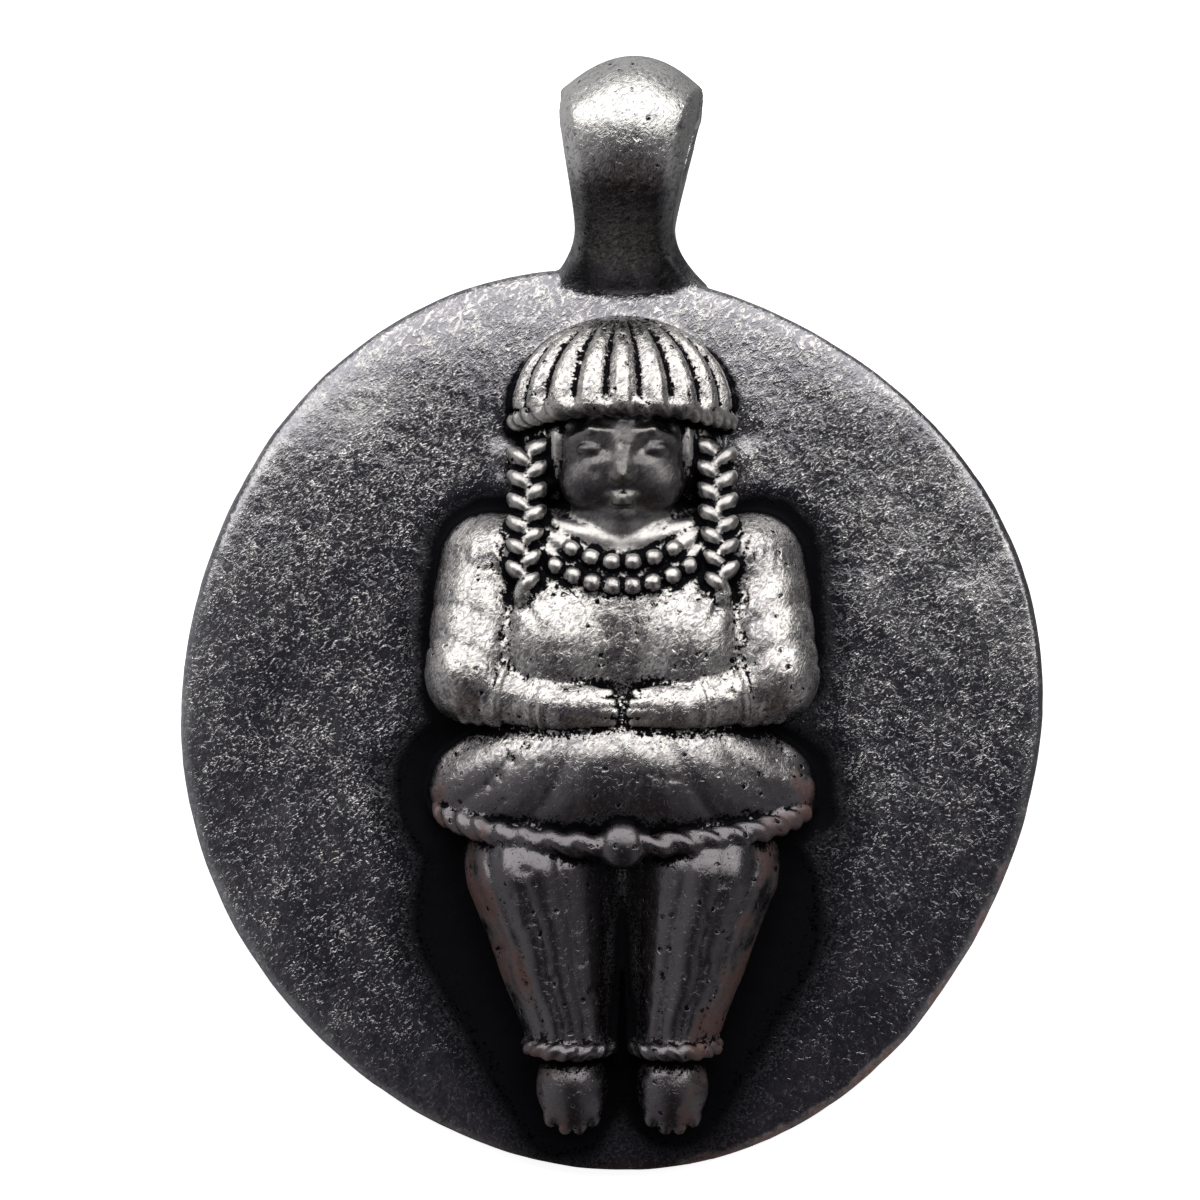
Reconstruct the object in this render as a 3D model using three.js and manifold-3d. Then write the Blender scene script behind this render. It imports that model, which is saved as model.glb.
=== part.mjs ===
// A cast pewter pendant, lying on its back: an uneven round disc, a robed goddess in high relief on
// its face, and a waisted bail at its top edge, all poured as one piece.
// Millimetres. +Z comes out of the face, +Y runs towards the bail, the origin is the disc's flat back.
import * as THREE from "three";
import { mergeVertices } from "three/addons/utils/BufferGeometryUtils.js";
import Module from "manifold-3d";

// Driving dimensions
const DISC_RADIUS = 16.3; // mean radius of the disc
const RIM_HEIGHT = 1.9; // thickness of the disc just inside its rounded edge
const DOME = 0.35; // how much the face rises from the edge to the middle
const BAIL_TOP = 24.4; // height of the bail's crown above the disc's centre
const FIGURE_X = 0.45; // the figure stands a little right of the disc's centre
const FIGURE_BASE = 2.0; // height of the ground that the figure's own depths count from

// The disc's outline swells and dips a little: each lobe is {order, size, turn in degrees}
const OUTLINE_LOBES = [
  { order: 2, size: 0.375, turn: 96.5 },
  { order: 3, size: 0.157, turn: 21.7 },
  { order: 4, size: 0.186, turn: 16.3 },
];
const EDGE_ROUND = 0.55; // rounding between the side and the face
const BACK_ROUND = 0.3; // rounding between the side and the back
const DISC_SIDES = 62;

// The bail is a crowned strap around one round eye
const EYE_HEIGHT = 21.5; // the eye's centre above the disc's centre
const EYE_DEPTH = 3.05; // the eye's centre above the back
const EYE_RADIUS = 1.55;
const STRAP_DEPTH = 6.1; // how far the strap's front stands above the back
// Fall of the strap's surface away from its middle, per millimetre squared
const STRAP_BEND = 0.187; // over the crown
const FRONT_BEND = 0.115; // down the front
const NECK_BEND = 0.08;
const NECK_X = 0.5; // centre of the neck, right of the disc's centre
const LEAN = 0.066; // sideways lean for each millimetre above the neck
const TWIST = 0.05; // sideways shift of the back leg for each millimetre of depth
const NECK_HEIGHT = 18.2;
const STRAP_FOOT = 15.6; // height where the strap meets the disc
const NECK_HALF = 1.82; // half width of the strap at the neck
const CROWN_HALF = 2.78; // half width of the strap from the crown's corners up
const CROWN_CORNER = 22.9; // height of those corners
const FOOT_FLARE = 0.27; // spread of the half width below the neck, per millimetre squared

// The figure, in its own frame: x from its middle, y from the disc's centre, z above FIGURE_BASE
const FIGURE_FLOOR = -1.0; // the figure's underside, sunk in the disc
const HAIR = { at: [0, 11.3, 0.3], radii: [4.05, 3.5, 3.0] };
const HAIRLINE = 11.35; // the hair over the brow ends here
const NAPE = { at: [0, 10.0, 0.1], radii: [3.7, 3.0, 2.2] };
const STRANDS = 20; // combed ridges all the way round the head, so that half of them show
const STRAND_SHARE = 0.045; // height of a ridge as a share of the head's own size
const FACE = { at: [0, 9.6, 0.75], radii: [2.45, 2.8, 2.25] };
const NOSE = { at: [0, 9.35, 3.0], radii: [0.3, 0.8, 0.42] };
const EYELID = { at: [1.1, 9.85, 2.6], radii: [0.55, 0.26, 0.26] };
const LIPS = { at: [0, 8.07, 2.65], radii: [0.62, 0.28, 0.32] };
const BROW_BAND = { height: 11.45, rise: 0.7, half: 3.95, depth: 3.0, radius: 0.38 };
const LOCK = { from: [3.4, 9.9, 1.2], to: [3.65, 5.0, 2.45], turns: 7, radii: [0.98, 0.55, 0.75] };
const NECK = { at: [0, 7.2, 0.5], radii: [1.9, 1.7, 1.8] };
const CHEST = { at: [0, 3.5, 0.2], radii: [5.2, 4.6, 2.55] };
const BREAST = { at: [2.45, 2.6, 1.15], radii: [2.35, 2.9, 2.05] };
const UPPER_ARM = { from: [4.85, 5.7, 0.1], to: [5.65, 1.6, 1.55], radii: [1.95, 1.6] };
const FOREARM = { from: [5.7, 1.2, 1.35], to: [2.2, 0.45, 2.55], radii: [1.4, 0.95] };
const HAND = { at: [1.45, 0.45, 2.85], radii: [1.1, 0.8, 0.55] };
const BELLY = { at: [0, -1.7, 0.2], radii: [5.6, 3.2, 2.95] };
const HIPS = { at: [0, -2.5, 0.3], radii: [7.2, 3.0, 2.3] };
const GIRDLE = { height: -4.65, rise: 1.65, half: 6.85, depth: 2.85, radius: 0.43 };
const CLASP = { at: [0, -4.65, 2.9], radii: [0.85, 0.85, 0.55] };
const COLLAR = { centre: 9.4, rows: [3.7, 4.55], reach: 42, beads: [8, 10], radius: 0.38 };
const PLEATS = 24; // all the way round, so that half of them show
const PLEAT_RISE = 0.09; // how far a pleat stands above and below the skirt's own surface
const SKIRT_FLATTEN = 0.26; // depth of the skirt as a share of its half width
const SKIRT_LIFT = 0.5; // how far the skirt's axis stands above the ground
// Half widths of the skirt, from the girdle to the hem
const SKIRT_WIDTHS = [
  { height: -12.5, half: 3.0 },
  { height: -11.6, half: 3.05 },
  { height: -9.0, half: 4.1 },
  { height: -4.9, half: 5.7 },
  { height: -3.0, half: 4.6 },
];
const LEG = { from: [3.2, -5.9, 0.6], to: [1.95, -12.1, 0.95], radii: [2.45, 1.35] }; // under the skirt
const HEM = { height: -12.25, rise: 0.2, half: 1.5, depth: 1.4, radius: 0.3 }; // round one leg
const HEM_AT = [1.95, 0, 0.95]; // the middle of that leg
const TROUGH = { depth: 1.1, half: 0.85 }; // the fold between the legs
const FOOT = { at: [1.85, -13.6, 0.55], radii: [1.35, 1.6, 1.2] };
const TOES = 4;
const TOE = { reach: 0.75, height: -15.0, depth: 0.8, radius: 0.32 };

const wasm = await Module();
wasm.setup();

// A closed geometry as a solid that can be joined and cut.
function solidOf(geometry) {
  const bare = geometry.clone();
  for (const name of ["normal", "uv"]) bare.deleteAttribute(name);
  const merged = mergeVertices(bare, 1e-4);
  return new wasm.Manifold(
    new wasm.Mesh({
      numProp: 3,
      vertProperties: merged.attributes.position.array,
      triVerts: new Uint32Array(merged.index.array),
    }),
  );
}

// A joined solid as a geometry again.
function geometryOf(solid) {
  const mesh = solid.getMesh();
  return new THREE.BufferGeometry()
    .setAttribute("position", new THREE.BufferAttribute(mesh.vertProperties, 3))
    .setIndex(new THREE.BufferAttribute(mesh.triVerts, 1));
}

const join = (solids) => solids.reduce((whole, piece) => whole.add(piece));
// Fills the specks of air that crossing forms can close in: each is a shell with a negative volume.
const filled = (solid) => join(solid.decompose().filter((shell) => shell.volume() > 0));
const mirrored = ([x, y, z], side) => [side * x, y, z];
const bothSides = (make) => [-1, 1].map(make);

// The half width at a height, eased between its neighbouring stations.
function halfWidthAt(stations, height) {
  const last = stations.length - 1;
  if (height <= stations[0].height) return stations[0].half;
  if (height >= stations[last].height) return stations[last].half;
  const above = stations.findIndex((station) => station.height > height);
  const [low, high] = [stations[above - 1], stations[above]];
  const share = THREE.MathUtils.smoothstep(height, low.height, high.height);
  return THREE.MathUtils.lerp(low.half, high.half, share);
}

// An ellipsoid, turned by some degrees in the plane of the disc.
function egg({ at, radii, turn = 0 }, around = 16, tall = 10) {
  const ball = new THREE.SphereGeometry(1, around, tall);
  ball.rotateX(Math.PI / 2);
  ball.scale(...radii);
  ball.rotateZ(THREE.MathUtils.degToRad(turn));
  ball.translate(...at);
  return solidOf(ball);
}

// A tapering rod with round ends.
function limb({ from, to, radii }, sides = 10) {
  const start = new THREE.Vector3(...from);
  const along = new THREE.Vector3(...to).sub(start);
  const [low, high] = radii;
  const steps = 3;
  const profile = [];
  for (let i = 0; i <= steps; i++) {
    const angle = (i / steps - 1) * (Math.PI / 2);
    profile.push(new THREE.Vector2(low * Math.cos(angle), low * Math.sin(angle)));
  }
  for (let i = 0; i <= steps; i++) {
    const angle = (i / steps) * (Math.PI / 2);
    profile.push(new THREE.Vector2(high * Math.cos(angle), along.length() + high * Math.sin(angle)));
  }
  profile[0].x = 0;
  profile[profile.length - 1].x = 0;
  const rod = new THREE.LatheGeometry(profile, sides);
  const up = new THREE.Vector3(0, 1, 0);
  rod.applyQuaternion(new THREE.Quaternion().setFromUnitVectors(up, along.clone().normalize()));
  rod.translate(...from);
  return solidOf(rod);
}

// A round cord along a smooth curve.
function cord(points, radius, steps, sides = 8) {
  const section = new THREE.Shape(
    Array.from({ length: sides }, (_, i) => {
      const angle = (i / sides) * 2 * Math.PI;
      return new THREE.Vector2(radius * Math.cos(angle), radius * Math.sin(angle));
    }),
  );
  const extrudePath = new THREE.CatmullRomCurve3(points.map((p) => new THREE.Vector3(...p)));
  return solidOf(new THREE.ExtrudeGeometry(section, { steps, extrudePath }));
}

// A cord that lies across a rounded form, drooping or rising towards its middle.
function band({ height, rise, half, depth, radius }, sinks, steps = 12) {
  const points = [];
  for (let i = -4; i <= 4; i++) {
    const angle = (i / 4) * (Math.PI / 2) * 0.92;
    const away = Math.cos(angle);
    points.push([half * Math.sin(angle), height + sinks * rise * (1 - away), depth * away]);
  }
  return cord(points, radius, steps, 6);
}

// How far the disc's edge is from its centre in one direction.
function outlineRadius(angle) {
  return OUTLINE_LOBES.reduce((radius, { order, size, turn }) => {
    return radius + size * Math.cos(order * (angle - THREE.MathUtils.degToRad(turn)));
  }, DISC_RADIUS);
}

// The disc: a turned profile, pushed in and out to the uneven outline.
function disc() {
  const profile = [new THREE.Vector2(0, 0)];
  const corner = (radius, height, start, steps) => {
    const centre = DISC_RADIUS - radius;
    for (let i = 0; i <= steps; i++) {
      const angle = start + (i / steps) * (Math.PI / 2);
      profile.push(
        new THREE.Vector2(centre + radius * Math.cos(angle), height + radius * Math.sin(angle)),
      );
    }
  };
  corner(BACK_ROUND, BACK_ROUND, -Math.PI / 2, 2);
  corner(EDGE_ROUND, RIM_HEIGHT - EDGE_ROUND, 0, 3);
  const flat = DISC_RADIUS - EDGE_ROUND;
  const rings = 3;
  for (let i = rings - 1; i >= 0; i--) {
    const share = i / rings;
    const rise = DOME * (1 - 0.35 * share ** 2 - 0.65 * share);
    profile.push(new THREE.Vector2(share * flat, RIM_HEIGHT + rise));
  }
  const turned = new THREE.LatheGeometry(profile, DISC_SIDES);
  turned.rotateX(Math.PI / 2);
  const place = turned.attributes.position;
  for (let i = 0; i < place.count; i++) {
    const [x, y] = [place.getX(i), place.getY(i)];
    const grow = outlineRadius(Math.atan2(y, x)) / DISC_RADIUS;
    place.setXY(i, x * grow, y * grow);
  }
  return solidOf(turned);
}

// Half the strap's width at a height above the disc's centre.
function strapHalf(height) {
  const above = THREE.MathUtils.clamp((height - NECK_HEIGHT) / (CROWN_CORNER - NECK_HEIGHT), 0, 1);
  const flare = FOOT_FLARE * Math.max(NECK_HEIGHT - height, 0) ** 2;
  return THREE.MathUtils.lerp(NECK_HALF, CROWN_HALF, above ** 1.25) + flare;
}

// The strap's outer line seen from the side, {y, z}: up the flat back, over the top, down the front.
function strapSide() {
  const top = BAIL_TOP - EYE_HEIGHT;
  const front = STRAP_DEPTH - EYE_DEPTH;
  const arc = new THREE.EllipseCurve(EYE_HEIGHT, EYE_DEPTH, top, front, -0.35, Math.PI / 2);
  const back = new THREE.EllipseCurve(EYE_HEIGHT, EYE_DEPTH, top, EYE_DEPTH, -Math.PI / 2, -0.35);
  const over = [...back.getPoints(8).slice(0, -1), ...arc.getPoints(13)];
  const knee = new THREE.Vector2(EYE_HEIGHT, STRAP_DEPTH);
  const frontLeg = new THREE.CubicBezierCurve(
    knee,
    new THREE.Vector2(EYE_HEIGHT - 2.4, STRAP_DEPTH),
    new THREE.Vector2(NECK_HEIGHT + 0.2, 3.6),
    new THREE.Vector2(STRAP_FOOT, 1.7),
  );
  const backLeg = [0, 0.35, 0.7].map((share) => {
    return new THREE.Vector2(THREE.MathUtils.lerp(STRAP_FOOT, EYE_HEIGHT, share), 0);
  });
  return [...backLeg, ...over, ...frontLeg.getPoints(8).slice(1)];
}

// The bail: the strap's side line spread to the strap's width, crowned, with the eye left open.
function bail() {
  const stations = [-1, -0.82, -0.5, 0, 0.5, 0.82, 1];
  const side = strapSide();
  const eye = new THREE.Vector2(EYE_HEIGHT, EYE_DEPTH);
  const place = [];
  for (const outer of side) {
    const out = outer.clone().sub(eye).normalize();
    const inner = eye.clone().addScaledVector(out, EYE_RADIUS);
    const aboveNeck = THREE.MathUtils.smoothstep(outer.x, NECK_HEIGHT, EYE_HEIGHT);
    const overCrown = THREE.MathUtils.smoothstep(outer.x, 21.9, 23.5);
    const crownBend = THREE.MathUtils.lerp(FRONT_BEND, STRAP_BEND, overCrown);
    const bend = THREE.MathUtils.lerp(NECK_BEND, crownBend, aboveNeck);
    const onBack = outer.y < EYE_DEPTH && outer.x < EYE_HEIGHT;
    for (const across of stations) {
      const fall = onBack ? 0 : bend * (across * strapHalf(outer.x)) ** 2;
      place.push(strapPoint(outer.clone().addScaledVector(out, -fall), across));
    }
    for (const across of [1, 0, -1]) place.push(strapPoint(inner, across));
  }
  const round = stations.length + 3;
  const faces = [];
  for (let i = 0; i < side.length; i++) {
    for (let j = 0; j < round; j++) {
      const [a, b] = [i * round + j, i * round + ((j + 1) % round)];
      const next = ((i + 1) % side.length) * round - i * round;
      faces.push(a, a + next, b, b, a + next, b + next);
    }
  }
  const strap = new THREE.BufferGeometry()
    .setAttribute("position", new THREE.Float32BufferAttribute(place.flat(), 3))
    .setIndex(faces);
  return solidOf(strap);
}

// A point of the strap: where it is in the side view, and how far across the width, from -1 to 1.
function strapPoint({ x: height, y: depth }, across) {
  const middle = NECK_X + LEAN * Math.max(height - NECK_HEIGHT, 0) + TWIST * (EYE_DEPTH - depth);
  return [middle + across * strapHalf(height), height, depth];
}

// Hair: a dome with combed ridges running from the crown to a band across the brow, and the nape.
function hair() {
  const dome = new THREE.SphereGeometry(1, STRANDS * 2, 8);
  const place = dome.attributes.position;
  for (let i = 0; i < place.count; i++) {
    const [x, z] = [place.getX(i), place.getZ(i)];
    const grow = 1 + STRAND_SHARE * Math.cos(STRANDS * Math.atan2(x, z));
    place.setX(i, x * grow);
    place.setZ(i, z * grow);
  }
  dome.scale(...HAIR.radii);
  dome.translate(...HAIR.at);
  const below = new THREE.BoxGeometry(20, 20, 20).translate(0, HAIRLINE - 10, 0);
  return join([solidOf(dome).subtract(solidOf(below)), egg(NAPE), band(BROW_BAND, -1)]);
}

// The face, with its features low and soft.
function face() {
  const eyes = bothSides((side) => egg({ ...EYELID, at: mirrored(EYELID.at, side) }, 8, 5));
  return join([egg(FACE), egg(NOSE, 6, 6), ...eyes, egg(LIPS, 8, 5)]);
}

// A lock of hair: a row of plump turns that shrink towards its curled end.
function lock(side) {
  const [from, to] = [LOCK.from, LOCK.to].map((point) => new THREE.Vector3(...mirrored(point, side)));
  const turns = Array.from({ length: LOCK.turns }, (_, i) => {
    const share = i / (LOCK.turns - 1);
    const at = from.clone().lerp(to, share).toArray();
    const shrink = 1 - 0.22 * share;
    return egg({ at, radii: LOCK.radii.map((radius) => radius * shrink), turn: side * 24 }, 8, 5);
  });
  return join(turns);
}

// Two rows of beads that hang round the neck and lie on the chest.
function collar() {
  const chest = [NECK, CHEST, ...bothSides(breastForm)];
  return COLLAR.rows.flatMap((row, r) =>
    Array.from({ length: COLLAR.beads[r] }, (_, i) => {
      const swing = (i / (COLLAR.beads[r] - 1) - 0.5) * 2 * THREE.MathUtils.degToRad(COLLAR.reach);
      const [x, y] = [row * Math.sin(swing), COLLAR.centre - row * Math.cos(swing)];
      const at = [x, y, topOf(chest, x, y)];
      return egg({ at, radii: [COLLAR.radius, COLLAR.radius, COLLAR.radius] }, 6, 4);
    }),
  );
}

const breastForm = (side) => ({ at: mirrored(BREAST.at, side), radii: BREAST.radii });

// The height of the highest ellipsoid above a point of the face.
function topOf(forms, x, y) {
  return Math.max(
    ...forms.map(({ at, radii }) => {
      const left = 1 - ((x - at[0]) / radii[0]) ** 2 - ((y - at[1]) / radii[1]) ** 2;
      return left > 0 ? at[2] + radii[2] * Math.sqrt(left) : 0;
    }),
  );
}

// One arm, bent so that its hand rests on the belly.
function arm(side) {
  const reach = ({ from, to, radii }) => {
    return limb({ from: mirrored(from, side), to: mirrored(to, side), radii });
  };
  const hand = egg({ at: mirrored(HAND.at, side), radii: HAND.radii }, 12, 8);
  return join([reach(UPPER_ARM), reach(FOREARM), hand]);
}

// The skirt: a turned bell, flattened and laid over the two legs, with pleats that fan out.
function skirt() {
  const low = SKIRT_WIDTHS[0].height;
  const high = SKIRT_WIDTHS[SKIRT_WIDTHS.length - 1].height;
  const rings = 5;
  const profile = [new THREE.Vector2(0, low)];
  for (let i = 0; i <= rings; i++) {
    const height = THREE.MathUtils.lerp(low, high, i / rings);
    profile.push(new THREE.Vector2(halfWidthAt(SKIRT_WIDTHS, height), height));
  }
  profile.push(new THREE.Vector2(0, high));
  const bell = new THREE.LatheGeometry(profile, PLEATS * 2);
  const place = bell.attributes.position;
  for (let i = 0; i < place.count; i++) {
    const [x, y, z] = [place.getX(i), place.getY(i), place.getZ(i)];
    const pleat = PLEAT_RISE * Math.cos(PLEATS * Math.atan2(x, z));
    const fold = z > 0 ? TROUGH.depth * Math.exp(-((x / TROUGH.half) ** 2)) : 0;
    const cloth = Math.max(SKIRT_LIFT + SKIRT_FLATTEN * z - fold, z > 0 ? legHeight(x, y) : -2);
    place.setZ(i, cloth + pleat);
  }
  const hems = bothSides((side) => band(HEM, 1, 8).translate(mirrored(HEM_AT, side)));
  return join([solidOf(bell), ...hems]);
}

// The height of a leg's front at a point of the face, or 0 beside the leg.
function legHeight(x, y) {
  const share = THREE.MathUtils.clamp((LEG.from[1] - y) / (LEG.from[1] - LEG.to[1]), 0, 1);
  const [middle, , lift] = LEG.from.map((start, axis) => THREE.MathUtils.lerp(start, LEG.to[axis], share));
  const radius = THREE.MathUtils.lerp(LEG.radii[0], LEG.radii[1], share);
  const past = Math.max(y - LEG.from[1], 0);
  const left = radius ** 2 - (Math.abs(x) - middle) ** 2 - past ** 2;
  return left > 0 ? lift + Math.sqrt(left) : 0;
}

// One foot with its toes, below the hem.
function foot(side) {
  const at = mirrored(FOOT.at, side);
  const toes = Array.from({ length: TOES }, (_, i) => {
    const away = (i / (TOES - 1) - 0.5) * 2 * TOE.reach;
    const droop = 0.3 * (away / TOE.reach) ** 2;
    const radii = [TOE.radius, TOE.radius * 1.4, TOE.radius];
    return egg({ at: [at[0] + away, TOE.height + droop, TOE.depth], radii }, 6, 4);
  });
  return join([egg({ at, radii: FOOT.radii }, 12, 8), ...toes]);
}

// The whole figure, cut level just inside the disc.
function figure() {
  const forms = join([
    hair(),
    face(),
    ...bothSides(lock),
    egg(NECK, 12, 8),
    egg(CHEST),
    ...bothSides((side) => egg(breastForm(side), 14, 10)),
    ...collar(),
    ...bothSides(arm),
    egg(BELLY),
    egg(HIPS),
    skirt(),
    band(GIRDLE, 1),
    egg(CLASP, 10, 6),
    ...bothSides(foot),
  ]);
  const below = new THREE.BoxGeometry(40, 60, 10).translate(0, 0, FIGURE_FLOOR - 5);
  return forms.subtract(solidOf(below)).translate([FIGURE_X, 0, FIGURE_BASE]);
}

const pewter = new THREE.MeshStandardMaterial({ color: 0x7b7a76, roughness: 0.38, metalness: 1 });
const poured = filled(join([disc(), bail(), figure()]));
const pendant = new THREE.Mesh(geometryOf(poured), pewter);
pendant.name = "pendant";

const part = new THREE.Group();
part.add(pendant);
export default part;
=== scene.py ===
"""The looks of a cast pewter pendant with a robed goddess on its face, laid on a pale floor."""

import math

import bpy
import numpy as np
from bpy.props import FloatProperty, FloatVectorProperty, PointerProperty
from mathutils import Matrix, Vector


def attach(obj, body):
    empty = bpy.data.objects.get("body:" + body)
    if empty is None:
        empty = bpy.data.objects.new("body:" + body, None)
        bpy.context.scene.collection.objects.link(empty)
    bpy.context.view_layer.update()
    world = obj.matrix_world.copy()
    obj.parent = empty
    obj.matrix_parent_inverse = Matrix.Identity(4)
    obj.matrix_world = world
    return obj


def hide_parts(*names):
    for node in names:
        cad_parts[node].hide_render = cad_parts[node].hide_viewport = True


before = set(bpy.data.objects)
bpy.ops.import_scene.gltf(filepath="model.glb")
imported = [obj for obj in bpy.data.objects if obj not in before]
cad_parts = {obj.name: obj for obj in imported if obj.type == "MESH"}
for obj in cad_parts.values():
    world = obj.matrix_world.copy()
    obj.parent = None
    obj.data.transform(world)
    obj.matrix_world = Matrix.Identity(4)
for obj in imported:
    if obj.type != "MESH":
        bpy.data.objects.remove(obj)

bl_info = {
    "name": "Cast pewter pendant",
    "version": (1, 0, 0),
    "blender": (4, 5, 0),
    "location": "3D View > Sidebar > Pendant",
    "description": "Casts a pewter pendant with a goddess in relief and lays it on a floor",
    "category": "Object",
}

MM = 0.001
FAR = 9.0  # a distance, in millimetres, that stands for nowhere near
PICTURE_CENTRE = (-0.37 * MM, 4.34 * MM)  # what the photograph's middle shows
CAD_FACE = 2.0 * MM  # height of the disc's face above its back

# Every size from here to the settings is in millimetres, in the frame's own axes
DISC_RADIUS = 16.3
RIM_HEIGHT = 1.9
DOME, BOWL_SHARE, CONE_SHARE = 0.35, 0.35, 0.65  # rise of the face's middle, and how it falls away
RIM_ROLL, ROLL_LOSS = 0.3, 0.2  # how far the face rolls down to its rim, and how much less at the right
OUTLINE_LOBES = ((2, 0.375, 96.5), (3, 0.157, 21.7), (4, 0.186, 16.3))  # order, size, turn
OUTLINE_WAVER = ((0.03, 11, 3.5), (0.012, 34, 9.5))  # size, waves in a radian, row of the noise
FACE_WAVER = ((0.7, 4.2, 30), (0.3, 1.9, 9))  # share, width, place in the noise
EDGE_ROUND = 0.28
WORN_RIM = {"width": 0.55, "slope": 0.6}  # the bevel that wear has cut at the upper left
WORN_TURNS = (0.35, 0.85)  # how far the rim faces the upper left where the wear starts and is full
BACK_ROUND = 0.3

BAIL_TOP = 24.4
EYE_HEIGHT, EYE_DEPTH, EYE_RADIUS = 21.5, 3.05, 1.55
STRAP_DEPTH = 6.1
STRAP_FOOT = (15.6, 1.7)  # height above the disc's centre, depth above the back
STRAP_NECK = (18.4, 3.6)
KNEE_DROP = 2.4  # how far below the eye the strap's front keeps its full depth
STRAP_BEND, FRONT_BEND, NECK_BEND = 0.187, 0.115, 0.08
BEND_CHANGES = (21.9, 23.5)  # heights between which the front's bend becomes the crown's
NECK_X, NECK_HEIGHT = 0.5, 18.2
LEAN, TWIST = 0.066, 0.05
NECK_HALF, CROWN_HALF = 1.82, 2.78
CROWN_CORNER = 22.9  # height of the crown's corners
FOOT_FLARE = 0.27  # spread below the neck, per millimetre squared
STRAP_BEVEL = 0.36
BEVEL_LOSS = {"share": 0.75, "heights": (22.2, 23.4), "depths": (3.6, 5.0)}  # behind the crown's top
BAIL_ROUNDS = {"underside": 0.25, "foot": 0.1, "side": 0.1, "bevel": 0.06, "eye": 0.3}
UNDER_LIFTS, UNDER_RISE = 19.4, 0.15  # where the strap's flat back leaves the floor, and how far

# The figure's own frame: x from its middle, y from the disc's centre, z above its ground
FIGURE_X, FIGURE_BASE, FIGURE_FLOOR = 0.45, 2.0, -1.0
HAIR = {"at": (0, 11.3, 0.3), "radii": (4.05, 3.5, 3.0)}
HAIRLINE = 11.35
NAPE = {"at": (0, 10.0, 0.1), "radii": (3.7, 3.0, 2.2)}
STRANDS, STRAND_SHARE = 20, 0.045
FACE = {"at": (0, 9.6, 0.75), "radii": (2.45, 2.8, 2.25)}
CHIN = {"at": (0, 7.45, 1.75), "radii": (0.85, 0.62, 0.8)}
CHEEK = {"at": (1.3, 8.6, 1.95), "radii": (0.95, 0.9, 0.72)}
SOCKET = {"at": (1.12, 9.85, 3.45), "radii": (0.95, 0.5, 0.85)}
EYELID = {"at": (1.1, 9.85, 2.42), "radii": (0.6, 0.31, 0.36)}
LASHES = {"start": (0.5, 9.72, 2.78), "end": (1.7, 9.74, 2.5), "radii": (0.06, 0.05)}
BROW = ((0.5, 10.5, 2.8), (1.15, 10.56, 2.73), (1.9, 10.26, 2.2))
BROW_RADII = (0.07, 0.1, 0.06)
NOSE = {"start": (0, 10.1, 2.68), "end": (0, 8.95, 2.98), "radii": (0.16, 0.29)}
NOSTRIL = {"at": (0.27, 8.85, 2.88), "radii": (0.21, 0.17, 0.24)}
UPPER_LIP = {"start": (0, 8.13, 2.84), "end": (0.6, 8.2, 2.64), "radii": (0.12, 0.07)}
LOWER_LIP = {"at": (0, 7.93, 2.62), "radii": (0.42, 0.16, 0.32)}
BROW_BAND = {"height": 11.45, "rise": -0.7, "half": 3.95, "depth": 3.0, "radius": 0.38}
LOCK = {"start": (3.4, 9.9, 1.2), "end": (3.65, 5.0, 2.45), "turns": 7}
STRAND = {"radii": (0.68, 0.4, 0.62), "turn": 38, "aside": 0.26, "taper": 0.22}
LOCK_TIP = {"drop": (0, -0.5, -0.05), "radii": (0.36, 0.55, 0.4)}
NECK = {"at": (0, 7.2, 0.5), "radii": (1.9, 1.7, 1.8)}
CHEST = {"at": (0, 3.5, 0.2), "radii": (5.2, 4.6, 2.55)}
BREAST = {"at": (2.45, 2.6, 1.15), "radii": (2.35, 2.9, 2.05)}
UPPER_ARM = {"start": (4.85, 5.7, 0.1), "end": (5.65, 1.6, 1.55), "radii": (1.95, 1.6)}
FOREARM = {"start": (5.7, 1.2, 1.35), "end": (2.2, 0.45, 2.55), "radii": (1.4, 0.95)}
CUFF = (0.09, 0.41, 0.045)  # height, place along the forearm, width
BANGLES = ((0.1, 0.86, 0.03), (0.08, 0.76, 0.025))
SHOULDER = {"start": (1.2, 6.6, 0.7), "end": (4.6, 5.9, 0.7), "radii": (1.3, 1.5)}
THUMB = {"start": (1.9, 0.45, 2.8), "end": (0.85, 0.72, 2.95), "radii": (0.24, 0.2)}
HAND = {"at": (1.45, 0.45, 2.85), "radii": (1.1, 0.8, 0.55)}
FINGERS, FINGER_RADII = 4, (0.21, 0.19)
KNUCKLE = {"x": 1.5, "apart": 0.36, "depth": 3.12, "curve": 0.06}
FINGERTIP = {"x": 0.28, "apart": 0.33, "depth": 3.2, "curve": 0.1}
BELLY = {"at": (0, -1.7, 0.2), "radii": (5.6, 3.2, 2.95)}
HIPS = {"at": (0, -2.5, 0.3), "radii": (7.2, 3.0, 2.3)}
GIRDLE = {"height": -4.65, "rise": 1.65, "half": 6.85, "depth": 2.85, "radius": 0.43}
CLASP = {"at": (0, -4.65, 2.9), "radii": (0.85, 0.85, 0.55)}
COLLAR = {"centre": 9.4, "rows": (3.7, 4.55), "reach": 42, "beads": (8, 10)}
BEAD, BEAD_LIFT = (0.38, 0.342, 0.342), 0.12
ROBE_GATHER = (5.6, 8.6)  # where the folds fan out from at each shoulder
FOLDS, FOLD_RISE, LAP_RISE = 6.2, 0.055, 0.05
CORD_REACH, CORD_RIDGES = 0.92, 0.15  # share of a quarter turn that a cord goes round, its ridges
SLEEVE_ENDS = (0.43, 0.47)  # how far along the forearm
PLEATS, PLEAT_RISE = 24, 0.065
PLEATS_FADE = (-5.6, -4.0)  # heights between which the pleats run out under the girdle
SKIRT_FLATTEN, SKIRT_LIFT = 0.26, 0.5
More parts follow.
